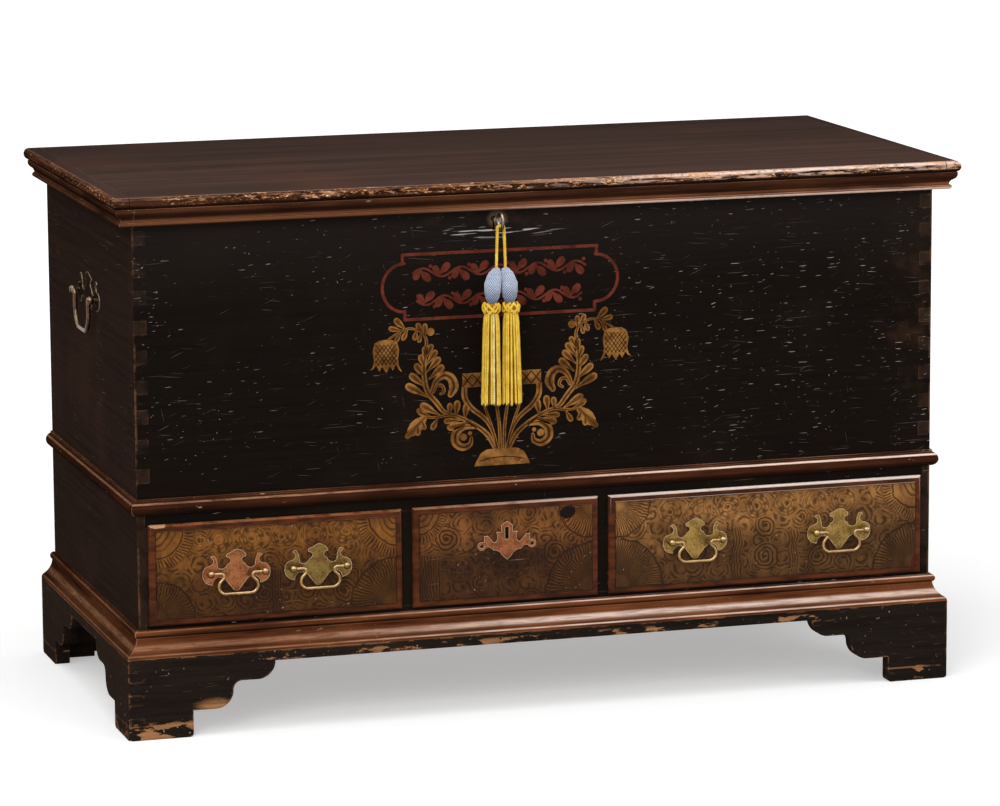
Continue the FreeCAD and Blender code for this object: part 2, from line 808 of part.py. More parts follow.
def hinges():
    """Strap hinges: a strap under the lid, a pad with a pin on the back."""
    pin_y = back + hinge_out
    pin_z = d.case_top - d.barrel / 2 - d.barrel_gap
    straps = []
    pads = []
    knuckle = d.hinge_width / 3
    bore = d.hinge_pin + 2 * d.hinge_play
    for side, x in (("left", -d.hinge_place), ("right", d.hinge_place)):
        wide = d.hinge_width / 2
        tip = d.hinge_tip / 2
        far = pin_y - d.hinge_length
        outline = [
            (x - wide, pin_y), (x - wide, inner_back), (x - tip, far),
            bowed((x - tip, far), (x + tip, far), ROUND, 1), (x + wide, inner_back), (x + wide, pin_y),
        ]
        leaf = sawn(f"strap_leaf_{side}", "XY_Plane", outline, d.case_top - d.hinge_plate, d.hinge_plate)
        length = knuckle - 2 * d.hinge_play
        rings = [
            rod(f"strap_knuckle_{side}_{end}", (start, pin_y, pin_z), length, d.barrel, FACE_RIGHT)
            for end, start in (("near", x - wide), ("far", x + wide - length))
        ]
        middle = board(
            f"strap_gap_{side}", (x - knuckle / 2 - d.hinge_play, x + knuckle / 2 + d.hinge_play),
            (back, pin_y + d.barrel), (pin_z - d.barrel, d.case_top),
        )
        hole = rod(f"strap_bore_{side}", (x - wide, pin_y, pin_z), d.hinge_width, bore, FACE_RIGHT)
        straps.append(cut(f"strap_{side}", fuse(f"strap_blank_{side}", leaf, *rings), middle, hole))
        plate = board(
            f"pad_plate_{side}", (x - wide, x + wide), (back, back + d.hinge_plate),
            (pin_z - d.pad_length, pin_z - d.barrel / 2 - d.barrel_gap),
        )
        neck = board(
            f"pad_neck_{side}", (x - knuckle / 2, x + knuckle / 2), (back, back + d.hinge_plate),
            (pin_z - d.barrel / 2 - d.barrel_gap, pin_z),
        )
        ring = rod(f"pad_knuckle_{side}", (x - knuckle / 2, pin_y, pin_z), knuckle, d.barrel, FACE_RIGHT)
        pin = rod(f"pad_pin_{side}", (x - wide, pin_y, pin_z), d.hinge_width, d.hinge_pin, FACE_RIGHT)
        pads.append(fuse(f"pad_{side}", plate, neck, ring, pin))
    return {"hinge_straps": group("hinge_straps", *straps), "hinge_pads": group("hinge_pads", *pads)}


def chest_lock():
    """Lock plate, bolt, lid staple and key."""
    x = d.key_x
    plate_y = (inner_front, inner_front + d.lock_plate)
    low = key_z - d.lock_below - d.lock_plate
    wide = d.lock_half + d.lock_plate
    plate = board("lock_plate_blank", (x - wide, x + wide), plate_y, (low, d.case_top - d.lock_plate))
    leaf = board(
        "lock_selvedge", (x - d.lock_half, x + d.lock_half), (inner_front - d.lock_mortise, plate_y[1]),
        (d.case_top - d.lock_plate, d.case_top),
    )
    staple_x = x - d.staple_offset
    middle_y = inner_front - d.lock_mortise / 2
    slot = board(
        "staple_slot", (staple_x - d.staple_thickness, staple_x + d.staple_thickness),
        (inner_front - d.lock_mortise, inner_front), (d.case_top - d.lock_plate, d.case_top),
    )
    pivot = rod(
        "lock_pivot", (x, plate_y[0], key_z), d.lock_plate, d.key_pivot + 2 * d.key_play, LIE_ALONG_Y
    )
    lock = cut("chest_lock", fuse("lock_blank", plate, leaf), slot, pivot)

    bolt_low = key_z + d.bolt_lift
    bolt_x = (x - d.bolt_play, x - d.bolt_play + d.bolt_length)
    bolt = board(
        "lock_bolt", bolt_x, (inner_front - d.bolt_play - d.bolt_width, inner_front - d.bolt_play),
        (bolt_low, bolt_low + d.bolt_height),
    )
    staple_y = (middle_y - d.staple_width / 2, middle_y + d.staple_width / 2)
    staple_blank = board(
        "staple_blank", (staple_x - d.staple_thickness / 2, staple_x + d.staple_thickness / 2), staple_y,
        (d.case_top - d.staple_length, d.case_top),
    )
    eye_y = (staple_y[0] + d.staple_wall, inner_front)
    eye = board(
        "staple_eye", (staple_x - d.staple_thickness, staple_x + d.staple_thickness), eye_y,
        (bolt_low - d.staple_wall, bolt_low + d.bolt_height + d.staple_wall),
    )
    staple = cut("lid_staple", staple_blank, eye)

    bow_y = front - d.bow_stand
    bow = doc.addObject("Part::Torus", "key_bow")
    bind(bow, Radius1=d.bow_radius, Radius2=d.bow_wire / 2)
    place(bow, x, bow_y, key_z, FACE_RIGHT)
    shank_start = bow_y + d.bow_radius
    shank = rod("key_shank", (x, shank_start, key_z), inner_front - shank_start, d.shank, LIE_ALONG_Y)
    collar_y = shank_start + d.bow_wire / 2
    collar = rod("key_collar_ring", (x, collar_y, key_z), d.bow_wire, d.key_collar, LIE_ALONG_Y)
    pivot_pin = rod("key_tip", (x, inner_front, key_z), d.lock_plate, d.key_pivot, LIE_ALONG_Y)
    bit_x = (x - d.bit_thickness / 2, x + d.bit_thickness / 2)
    bit_y = (middle_y - d.bit_width / 2, middle_y + d.bit_width / 2)
    bit = board("key_bit_blade", bit_x, bit_y, (key_z - d.key_bit, key_z))
    key = fuse("key", bow, shank, collar, pivot_pin, bit)
    return {"chest_lock": lock, "lock_bolt": bolt, "lid_staple": staple, "key": key}


def tassels():
    """A cord through the bow with a tassel on each end."""
    x = d.key_x
    y = front - d.bow_stand
    wire_z = key_z - d.bow_radius
    head_top = wire_z - d.cord_fall
    bend = (d.bow_wire + d.cord) / 2 + d.cord_play
    spread = d.tassel_spacing / 2
    reach = hypotenuse(spread, d.cord_fall)
    straight = cathetus(reach, bend)
    # The strand leaves the bend where its line to the head touches the bend's circle.
    across = (spread * bend * bend + d.cord_fall * bend * straight) / (reach * reach)
    drop = (d.cord_fall * bend * bend - spread * bend * straight) / (reach * reach)
    # It runs on into the head, which trims it flush.
    run_on = OVERCUT * (spread - across) / (d.cord_fall - drop)
    head_low = head_top - d.head_height
    collar_low = head_low - d.collar_height
    head = [
        (ORIGIN, ORIGIN), (d.collar_neck, ORIGIN), (d.head_bulge, d.head_bulge_low),
        (d.head_bulge, d.head_bulge_high), (d.head_neck, d.head_height), (ORIGIN, d.head_height),
    ]
    knot = [
        (ORIGIN, ORIGIN), (d.collar_neck, ORIGIN), (d.collar_radius, d.collar_chamfer),
        (d.collar_radius, d.collar_height - d.collar_chamfer), (d.collar_neck, d.collar_height),
        (ORIGIN, d.collar_height),
    ]
    fringe = [
        (ORIGIN, ORIGIN), (d.fringe_end, ORIGIN), (d.fringe_top, d.fringe_length), (ORIGIN, d.fringe_length),
    ]
    made = {}
    heads = []
    collars = []
    fringes = []
    for side, sign in (("left", -1), ("right", 1)):
        centre = x + sign * spread
        heads.append(turned(f"tassel_head_{side}", head, centre, y, head_low))
        collars.append(turned(f"tassel_collar_{side}", knot, centre, y, collar_low))
        fringes.append(turned(f"tassel_skirt_{side}", fringe, centre, y, collar_low - d.fringe_length))
        name = f"tassel_cord_{side}"
        course = [
            (x, wire_z + bend),
            (x + sign * across, wire_z - drop, bend, -sign),
            (centre + sign * run_on, head_top - OVERCUT),
        ]
        path = free_sketch(f"{name}_path", course, y=y, turn=FACE_FRONT, closed=False)
        section = round_section(f"{name}_section", d.cord, x, y, wire_z + bend, FACE_RIGHT)
        made[name] = cut(name, swept(f"{name}_whole", section, path), heads[-1])
        turn = math.pi / 2 - math.atan2(-drop.value, across.value)
        cord_runs[name] = straight.value + bend.value * turn
    print("tassel cord: bend radius", round(bend.value, 2))
    made["tassel_heads"] = group("tassel_heads", *heads)
    made["tassel_collars"] = group("tassel_collars", *collars)
    made["tassel_skirts"] = group("tassel_skirts", *fringes)
    return made


def ball_post(name, stand, ball, stem, x, y, z, turn):
    """A turned post: a stem that swells into a ball."""
    radius = ball / 2
    waist = stem / 2
    shoulder = cathetus(radius, waist)
    profile = [
        (ORIGIN, ORIGIN), (waist, ORIGIN), (waist, stand - shoulder),
        (radius, stand, radius, 1), (ORIGIN, stand + radius, radius, 1),
    ]
    return turned(name, profile, x, y, z, turn)


def handles():
    """Drop handles on batwing plates on both ends of the case."""
    made = {}
    plates = []
    posts = []
    y = (front + back) / 2
    z = d.case_top - d.handle_below
    for side, sign, turn in (("left", -1, FACE_LEFT), ("right", 1, FACE_RIGHT)):
        seat = (half + d.plate) * sign
        axis_x = (half + d.plate + d.handle_stand) * sign
        inner_face = seat if sign < 0 else half
        outline = batwing(y, z, d.handle_plate_half)
        plates.append(sawn(f"handle_plate_{side}", "YZ_Plane", outline, inner_face, d.plate))
        balls = []
        for end, offset in (("front", -1), ("back", 1)):
            post_y = y + offset * d.handle_bore / 2
            name = f"handle_post_{side}_{end}"
            balls.append(ball_post(name, d.handle_stand, d.handle_ball, d.handle_rod, seat, post_y, z, turn))
        hole = rod(
            f"handle_hole_{side}", (axis_x, y - d.handle_bore / 2, z), d.handle_bore,
            d.handle_rod + 2 * d.pull_play, LIE_ALONG_Y,
        )
        posts.append(cut(f"handle_pair_{side}", group(f"handle_balls_{side}", *balls), hole))
        pin = d.handle_bore / 2
        knee = pin - d.handle_pin
        leg = knee - d.handle_bend
        foot = leg - d.handle_round
        corner = d.handle_drop - d.handle_round
        course = [
            (-pin, ORIGIN), (-knee, ORIGIN), (-leg, -d.handle_bend, d.handle_bend, -1), (-leg, -corner),
            (-foot, -d.handle_drop, d.handle_round, 1), (foot, -d.handle_drop),
            (leg, -corner, d.handle_round, 1), (leg, -d.handle_bend),
            (knee, ORIGIN, d.handle_bend, -1), (pin, ORIGIN),
        ]
        name = f"handle_bail_{side}"
        path = free_sketch(f"{name}_path", course, axis_x, y, z, FACE_END, closed=False)
        section = round_section(f"{name}_section", d.handle_rod, axis_x, y - pin, z, FACE_FRONT)
        made[name] = swept(name, section, path)
    made["handle_plates"] = group("handle_plates", *plates)
    made["handle_posts"] = group("handle_posts", *posts)
    return made


def drawer_box(name, x):
    """One lipped drawer between the sides of its opening: front, sides, back and bottom."""
    low = d.opening_bottom
    high = rail_bottom
    gap = d.drawer_gap
    block_x = (x[0] + gap, x[1] - gap)
    block_z = (low + d.drawer_lift, high - gap)
    block_back = front + d.front_block
    lip_x = (x[0] - d.lip, x[1] + d.lip)
    lip_z = (low - d.lip, high + d.lip)
    lip_front = front - d.lip_thickness
    inset = d.field_inset
    body = new_body(f"{name}_front_blank")
    sketch = body_sketch(body, f"{name}_lip", "XZ_Plane", rectangle(lip_x, lip_z), -front)
    feature(body, "Pad", f"{name}_lip_pad", sketch, d.lip_thickness)
    rounded(body, f"{name}_thumb", d.lip_round, lambda middle, line: middle.y < lip_front.value + TINY)
    field_x = (lip_x[0] + inset, lip_x[1] - inset)
    field_z = (lip_z[0] + inset, lip_z[1] - inset)
    sketch = body_sketch(body, f"{name}_field", "XZ_Plane", rectangle(field_x, field_z), -front)
    feature(body, "Pad", f"{name}_field_pad", sketch, d.lip_thickness + d.field_height)
    sketch = body_sketch(body, f"{name}_block", "XZ_Plane", rectangle(block_x, block_z), -block_back)
    feature(body, "Pad", f"{name}_block_pad", sketch, d.front_block)
    tail_low = block_z[0] + d.drawer_margin
    side_top = block_z[1] - d.drawer_side_drop
    pitch = (side_top - block_z[0] - 2 * d.drawer_margin) / (d.drawer_tails - 1)
    tail_sockets(
        body, f"{name}_front", block_x, d.drawer_board, block_back - d.drawer_tail, block_back, tail_low,
        d.drawer_tail_width, d.drawer_tail_flare, d.drawer_tails, pitch,
    )
    rear = inner_back - d.drawer_stop
    panel_z = (low + d.panel_lift, low + d.panel_lift + d.panel)
    panel_x = (block_x[0] + d.drawer_board - d.groove, block_x[1] - d.drawer_board + d.groove)
    bottom = board(f"{name}_bottom", panel_x, (block_back - d.groove, rear), panel_z)
    back_piece = pin_board(
        f"{name}_back", block_x, rear, rear - d.drawer_board, (panel_z[1], side_top), d.drawer_board,
        d.drawer_board, d.drawer_margin, d.drawer_tail_width, d.drawer_tail_flare, d.drawer_tails,
    )
    sides = [
        board(f"{name}_side_{side}", pair, (block_back - d.drawer_tail, rear), (low, side_top))
        for side, pair in (
            ("left", (block_x[0], block_x[0] + d.drawer_board)),
            ("right", (block_x[1] - d.drawer_board, block_x[1])),
        )
    ]
    both = cut(f"{name}_sides", group(f"{name}_side_blanks", *sides), body, back_piece, bottom)
    return body, {f"{name}_sides": both, f"{name}_back": back_piece, f"{name}_bottom": bottom}


def plate_outline(x, z, corners):
    """Both halves of a brass plate round a point.

    Each corner of the right half is (distance out, height), with the radius over the chord of the arc that
    arrives there, and which way that arc turns.
    """
    right = []
    for number, (u, v, swell, turn) in enumerate(corners):
        if swell is None:
            right.append((u, v))
        else:
            right.append(bowed(corners[number - 1], (u, v), swell, turn))
    whole = mirrored(right)
    return [(x + point[0], z + point[1], *point[2:]) for point in whole]


def batwing(x, z, wide):
    """The outline of a batwing plate round a point between its posts, in shares of its width and height."""
    high = d.plate_above
    deep = d.plate_below
    corners = [
        # Crest and neck
        (ORIGIN, high, None, 0),
        (wide * 0.27, high * 0.80, 1.20, -1),
        (wide * 0.27, high * 0.65, 0.60, -1),
        (wide * 0.17, high * 0.53, 0.80, 1),
        (wide * 0.27, high * 0.35, 0.80, 1),
        # Wing with its hooked head
        (wide * 0.55, high * 0.24, 0.56, 1),
        (wide * 0.57, high * 0.52, None, 0),
        (wide * 0.63, high * 0.73, None, 0),
        (wide * 0.77, high * 0.68, 0.60, -1),
        (wide * 0.68, high * 0.50, 0.80, 1),
        (wide * 0.80, high * 0.32, 0.80, 1),
        (wide, ORIGIN, 0.75, -1),
        (wide * 0.82, -deep * 0.61, 0.75, -1),
        (wide * 0.71, -deep * 0.66, None, 0),
        # Shield between the wings
        (wide * 0.54, -deep * 0.27, 0.80, 1),
        (wide * 0.27, -deep * 0.54, 0.90, 1),
        (wide * 0.12, -deep * 0.86, None, 0),
        (ORIGIN, -deep, 0.80, -1),
    ]
    return plate_outline(x, z, corners)


# Place of the loop at the end of the escutcheon's wing, in shares of the escutcheon's width and depth
LOOP_OUT, LOOP_DOWN = 0.855, 0.52


def escutcheon(x, z):
    """The outline of the pierced escutcheon round its keyhole, in shares of its width and height."""
    wide = d.shield_half
    high = d.shield_above
    deep = d.shield_below
    corners = [
        # Gable over the keyhole
        (ORIGIN, high, None, 0),
        (wide * 0.19, high * 0.52, None, 0),
        (wide * 0.20, -deep * 0.09, None, 0),
        (wide * 0.38, -deep * 0.09, None, 0),
        (wide * 0.35, -deep * 0.37, 1.00, 1),
        # Wing, ending in a loop
        (wide * 0.47, -deep * 0.40, 0.60, 1),
        (wide * 0.66, -deep * 0.19, None, 0),
        (wide * 0.92, -deep * 0.10, 1.00, 1),
        (wide * 0.77, -deep * 0.28, 0.80, 1),
        (wide * 0.79, -deep * 0.40, None, 0),
        (wide, -deep * LOOP_DOWN, 0.59, -1),
        (wide * LOOP_OUT, -deep * 0.66, 0.71, -1),
        (wide * 0.72, -deep * 0.57, 0.87, -1),
        # Scalloped point
        (wide * 0.48, -deep * 0.675, 0.75, 1),
        (wide * 0.155, -deep * 0.87, 0.90, 1),
        (ORIGIN, -deep, None, 0),
    ]
    return plate_outline(x, z, corners)


def pulls(drawer, x, spread, face):
    """Two batwing pulls on a drawer front."""
    z = (d.opening_bottom + rail_bottom) / 2
    plates = []
    posts = []
    bails = {}
    axis_y = face - d.plate - d.pull_stand
    bore = d.pull_bore / 2
    for number, centre in enumerate((x - spread, x + spread), 1):
        tag = f"{drawer}_{number}"
        plates.append(sawn(f"plate_{tag}", "XZ_Plane", batwing(centre, z, d.plate_half), -face, d.plate))
        balls = [
            ball_post(
                f"post_{tag}_{side}", d.pull_stand, d.pull_ball, d.pull_stem, centre + bore * sign,
                face - d.plate, z, FACE_FRONT,
            )
            for side, sign in (("left", -1), ("right", 1))
        ]
        hole = rod(
            f"hole_{tag}", (centre - bore, axis_y, z), d.pull_bore, d.pull_rod + 2 * d.pull_play, FACE_RIGHT
        )
        posts.append(cut(f"posts_{tag}", group(f"balls_{tag}", *balls), hole))
        knee = bore - d.bail_inset
        bent = knee - d.bail_bend * DIAGONAL
        slant = d.bail_drop - (d.bail_bend + d.bail_round) * (1 + DIAGONAL)
        bend_low = d.bail_bend * (1 + DIAGONAL)
        belly = bent + slant
        foot = belly - d.bail_round * DIAGONAL
        course = [
            (-bore, ORIGIN), (-knee, ORIGIN), (-bent, -bend_low, d.bail_bend, -1),
            (-belly, -bend_low - slant), (-foot, -d.bail_drop, d.bail_round, 1),
            (foot, -d.bail_drop), (belly, -bend_low - slant, d.bail_round, 1),
            (bent, -bend_low), (knee, ORIGIN, d.bail_bend, -1), (bore, ORIGIN),
        ]
        name = f"{drawer}_bail_{number}"
        path = free_sketch(f"{name}_path", course, centre, axis_y, z, FACE_FRONT, closed=False)
        section = round_section(f"{name}_section", d.pull_rod, centre - bore, axis_y, z, FACE_RIGHT)
        bails[name] = swept(name, section, path)
    made = {f"{drawer}_plates": group(f"{drawer}_plates", *plates)}
    made[f"{drawer}_posts"] = group(f"{drawer}_posts", *posts)
    return {**made, **bails}


def middle_lock(face):
    """Escutcheon, lock and bolt of the middle drawer; the bolt shoots up into the rail."""
    z = (d.opening_bottom + rail_bottom) / 2 + d.drawer_keyhole_rise
    hole = keyhole_outline(middle_x, z, d.drawer_keyhole, d.drawer_keyway, d.drawer_keyway_drop)
    blank = sawn("escutcheon_blank", "XZ_Plane", escutcheon(middle_x, z), -face, d.plate)
    sketch = body_sketch(blank, "escutcheon_hole", "XZ_Plane", hole, -face)
    feature(blank, "Pocket", "escutcheon_cut", sketch, d.plate, True)
    out = d.shield_half * LOOP_OUT
    loop_z = z - d.shield_below * LOOP_DOWN
    loops = [
        rod(f"escutcheon_loop_{side}", (loop_x, face, loop_z), d.plate, d.shield_loop, FACE_FRONT)
        for side, loop_x in (("left", middle_x - out), ("right", middle_x + out))
    ]
    plate = cut("drawer_escutcheon", blank, *loops)
    top = rail_bottom - d.drawer_gap - d.drawer_lock_drop
    block_back = front + d.front_block
    lock_blank = board(
        "drawer_lock_blank", (middle_x - d.drawer_lock_half, middle_x + d.drawer_lock_half),
        (block_back, block_back + d.drawer_lock_depth), (top - d.drawer_lock_height, top),
    )
    half_slot = d.drawer_bolt_half + d.bolt_play
    slot = board(
        "drawer_bolt_slot", (middle_x - half_slot, middle_x + half_slot),
        (bolt_y[0] - d.bolt_play, bolt_y[1] + d.bolt_play), (top - d.drawer_bolt_length - d.bolt_play, top),
    )
    lock = cut("drawer_lock", lock_blank, slot)
    bolt = board(
        "drawer_bolt", (middle_x - d.drawer_bolt_half, middle_x + d.drawer_bolt_half), bolt_y,
        (top - d.drawer_bolt_length, top),
    )
    return hole, {"drawer_escutcheon": plate, "drawer_lock": lock, "drawer_bolt": bolt}


def drawers():
    """Three drawers of unequal width; the outer two have pulls, the middle one a lock."""
    made = {}
    openings = {
        "left_drawer": (-inner_half, d.divider_left - d.divider / 2),
        "middle_drawer": (d.divider_left + d.divider / 2, d.divider_right - d.divider / 2),
        "right_drawer": (d.divider_right + d.divider / 2, inner_half),
    }
    face = front - d.lip_thickness - d.field_height
    spreads = {"left_drawer": d.left_pulls, "right_drawer": d.right_pulls}
    for name, x in openings.items():
        blank, pieces = drawer_box(name, x)
        made.update(pieces)
        if name in spreads:
            made.update(pulls(name, (x[0] + x[1]) / 2, spreads[name], face))
        else:
            hole, lock = middle_lock(face)
            sketch = body_sketch(blank, f"{name}_keyhole", "XZ_Plane", hole, -face)
            feature(blank, "Pocket", f"{name}_keyhole_cut", sketch, front - face + d.front_block)
            made.update(lock)
        made[f"{name}_front"] = cut(f"{name}_front", blank, pieces[f"{name}_bottom"])
    return made


def build():
    nodes = {}
    for make in (case_boards, mouldings, skirts, lid, hinges, chest_lock, tassels, handles, drawers):
        nodes.update(make())
    doc.recompute()
    failed = [obj.Label for obj in doc.Objects if "Invalid" in obj.State or "Error" in obj.State]
    if failed:
        raise RuntimeError(f"these failed: {failed}")
    for name, obj in nodes.items():
        obj.Label = name
        if obj.Shape.isNull() or not obj.Shape.isValid() or not obj.Shape.Solids:
            raise RuntimeError(f"{name} has no valid solid")
    for name, run in cord_runs.items():
        share = nodes[name].Shape.Volume / (math.pi / 4 * d.cord.value**2 * run)
        print(name, "length", round(run, 1), "volume over section times length", round(share, 4))
    os.makedirs("parts", exist_ok=True)
    for name, obj in nodes.items():
        obj.Shape.exportStep(f"parts/{name}.step")
    print(len(nodes), "nodes,", sum(len(obj.Shape.Solids) for obj in nodes.values()), "solids")


build()
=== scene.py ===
"""Looks of the painted mule chest: camera, studio, materials, painted ornament and tassels.

Metres, in the frame of the solids: +X runs to the right along the front, -Y faces the viewer and +Z is up.
"""
import math
import random

import bmesh
import bpy
from mathutils import Matrix, Vector


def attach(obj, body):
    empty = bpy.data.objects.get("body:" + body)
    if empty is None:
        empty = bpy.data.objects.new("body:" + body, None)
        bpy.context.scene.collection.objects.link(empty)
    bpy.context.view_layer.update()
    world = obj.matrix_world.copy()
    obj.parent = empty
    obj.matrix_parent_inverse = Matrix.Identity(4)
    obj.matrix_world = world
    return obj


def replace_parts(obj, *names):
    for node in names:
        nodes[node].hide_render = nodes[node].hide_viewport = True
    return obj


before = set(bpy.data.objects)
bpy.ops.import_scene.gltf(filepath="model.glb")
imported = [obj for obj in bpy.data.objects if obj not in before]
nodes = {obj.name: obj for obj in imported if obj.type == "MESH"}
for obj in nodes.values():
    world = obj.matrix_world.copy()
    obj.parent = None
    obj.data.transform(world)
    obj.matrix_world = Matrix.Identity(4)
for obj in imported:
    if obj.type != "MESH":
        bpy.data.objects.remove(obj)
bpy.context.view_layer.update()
scene = bpy.context.scene
scene.view_settings.view_transform = "Standard"

MM = 0.001
TURN = 2 * math.pi
# Planes of the case, in millimetres
FRONT, HALF = -275.3, 610.0
CLEAT_SEAM = 619.0


def srgb(red, green, blue):
    """A colour as it is read off a screen, 0 to 255, for a socket."""
    def linear(level):
        level /= 255
        return level / 12.92 if level <= 0.04045 else ((level + 0.055) / 1.055) ** 2.4
    return (linear(red), linear(green), linear(blue), 1.0)


def placed(name, data):
    """A new object in the scene."""
    made = bpy.data.objects.new(name, data)
    scene.collection.objects.link(made)
    return made


# Camera

IMAGE_WIDTH = 1000
FOCAL_PIXELS = 4777.27
SENSOR = 36.0
CAMERA_PLACE = (-2.0788, -6.8381, 1.6720)
CAMERA_YAW, CAMERA_PITCH, CAMERA_ROLL = math.radians(17.075), math.radians(10.04), math.radians(-0.3355)
CAMERA_SHIFT = (-0.0016, 0.0011)


def make_camera():
    data = bpy.data.cameras.new("camera")
    data.sensor_width = SENSOR
    data.sensor_fit = "HORIZONTAL"
    data.lens = FOCAL_PIXELS / IMAGE_WIDTH * SENSOR
    data.shift_x, data.shift_y = CAMERA_SHIFT
    data.clip_end = 200
    ahead = Vector((
        math.sin(CAMERA_YAW) * math.cos(CAMERA_PITCH),
        math.cos(CAMERA_YAW) * math.cos(CAMERA_PITCH),
        -math.sin(CAMERA_PITCH),
    ))
    level = Vector((math.cos(CAMERA_YAW), -math.sin(CAMERA_YAW), 0))
    upright = level.cross(ahead)
    right = level * math.cos(CAMERA_ROLL) + upright * math.sin(CAMERA_ROLL)
    up = right.cross(ahead)
    camera = placed("camera", data)
    turn = Matrix((right, up, -ahead)).transposed()
    camera.matrix_world = Matrix.Translation(CAMERA_PLACE) @ turn.to_4x4()
    scene.camera = camera


make_camera()


# Meshes

def piece(name, shape, materials, body, smooth=False):
    """A mesh of a shape that rides on a body."""
    mesh = bpy.data.meshes.new(name)
    mesh.from_pydata([tuple(point) for point in shape.points], [], shape.faces)
    for material in materials:
        mesh.materials.append(material)
    mesh.polygons.foreach_set("material_index", shape.tints)
    mesh.polygons.foreach_set("use_smooth", [smooth] * len(shape.faces))
    work = bmesh.new()
    work.from_mesh(mesh)
    bmesh.ops.recalc_face_normals(work, faces=work.faces)
    work.to_mesh(mesh)
    work.free()
    made = placed(name, mesh)
    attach(made, body)
    return made


class Shape:
    """Points and faces that are gathered into one mesh; tints are places in its list of materials."""

    def __init__(self):
        self.points = []
        self.faces = []
        self.tints = []

    def rings(self, rings, tint=0):
        """A closed skin over rings of points, with both ends covered."""
        count = len(rings[0])
        start = len(self.points)
        self.points += [Vector(point) for ring in rings for point in ring]
        faces = []
        for row in range(len(rings) - 1):
            low = start + row * count
            for at in range(count):
                after = (at + 1) % count
                faces.append((low + at, low + after, low + count + after, low + count + at))
        last = start + (len(rings) - 1) * count
        faces.append(tuple(reversed(range(start, start + count))))
        faces.append(tuple(range(last, last + count)))
        self.faces += faces
        self.tints += [tint] * len(faces)


def across(direction):
    """Two directions square to one another and to a third."""
    side = Vector((0, 1, 0)) if abs(direction.y) < 0.9 else Vector((1, 0, 0))
    first = direction.cross(side).normalized()
    return first, direction.cross(first).normalized()


def spun_frames(line):
    """A pair of cross directions at each point of a line, carried along without twist."""
    frames = []
    first = None
    for number in range(len(line)):
        before = line[max(number - 1, 0)]
        after = line[min(number + 1, len(line) - 1)]
        ahead = (after - before).normalized()
        if first is None:
            first, second = across(ahead)
        else:
            first = (first - ahead * first.dot(ahead)).normalized()
            second = ahead.cross(first)
        frames.append((first, second))
    return frames


# How far the middle of a ply is from that of its cord, as a share of the radius, by the number of plies
PLY_LAY = {2: 0.42, 3: 0.48}


def twisted(shape, line, radius, plies, pitch, sides=8, phase=0.0, taper=None):
    """A cord of twisted plies along a line of points."""
    frames = spun_frames(line)
    runs = [0.0]
    for before, after in zip(line, line[1:]):
        runs.append(runs[-1] + (after - before).length)
    lay = radius * PLY_LAY[plies]
    thick = radius - lay
    for ply in range(plies):
        rings = []
        for number, point in enumerate(line):
            swell = taper(runs[number] / runs[-1]) if taper else 1.0
            angle = TURN * (ply / plies + runs[number] / pitch) + phase
            first, second = frames[number]
            centre = point + (first * math.cos(angle) + second * math.sin(angle)) * lay * swell
            ring = []
            for side in range(sides):
                corner = TURN * side / sides
                out = first * math.cos(corner) + second * math.sin(corner)
                ring.append(centre + out * thick * swell)
            rings.append(ring)
        shape.rings(rings)


# Materials

class Field:
    """A value that varies over a surface; arithmetic on it adds nodes."""

    def __init__(self, graph, socket):
        self.graph = graph
        self.socket = socket

    def __add__(self, other):
        return self.graph.calc("ADD", self, other)

    __radd__ = __add__

    def __sub__(self, other):
        return self.graph.calc("SUBTRACT", self, other)

    def __rsub__(self, other):
        return self.graph.calc("SUBTRACT", other, self)

    def __mul__(self, other):
        return self.graph.calc("MULTIPLY", self, other)

    __rmul__ = __mul__

    def __truediv__(self, other):
        return self.graph.calc("DIVIDE", self, other)

    def __abs__(self):
        return self.graph.calc("ABSOLUTE", self)

    def ease(self, low, high):
        """0 below low and 1 above high, or the other way round where high is the lower."""
        return self.graph.field("MapRange", self, low, high, interpolation_type="SMOOTHSTEP")

    def band(self, low, high, soft):
        """1 between low and high."""
        return self.ease(low - soft, low) * self.ease(high + soft, high)

    def between(self, first, second):
        """A number between two numbers, by this share."""
        return first + (second - first) * self

    def cover(self, share, tint):
        """Lays a share of a tint over this colour."""
        self.socket = self.graph.mix(share, self, tint).socket


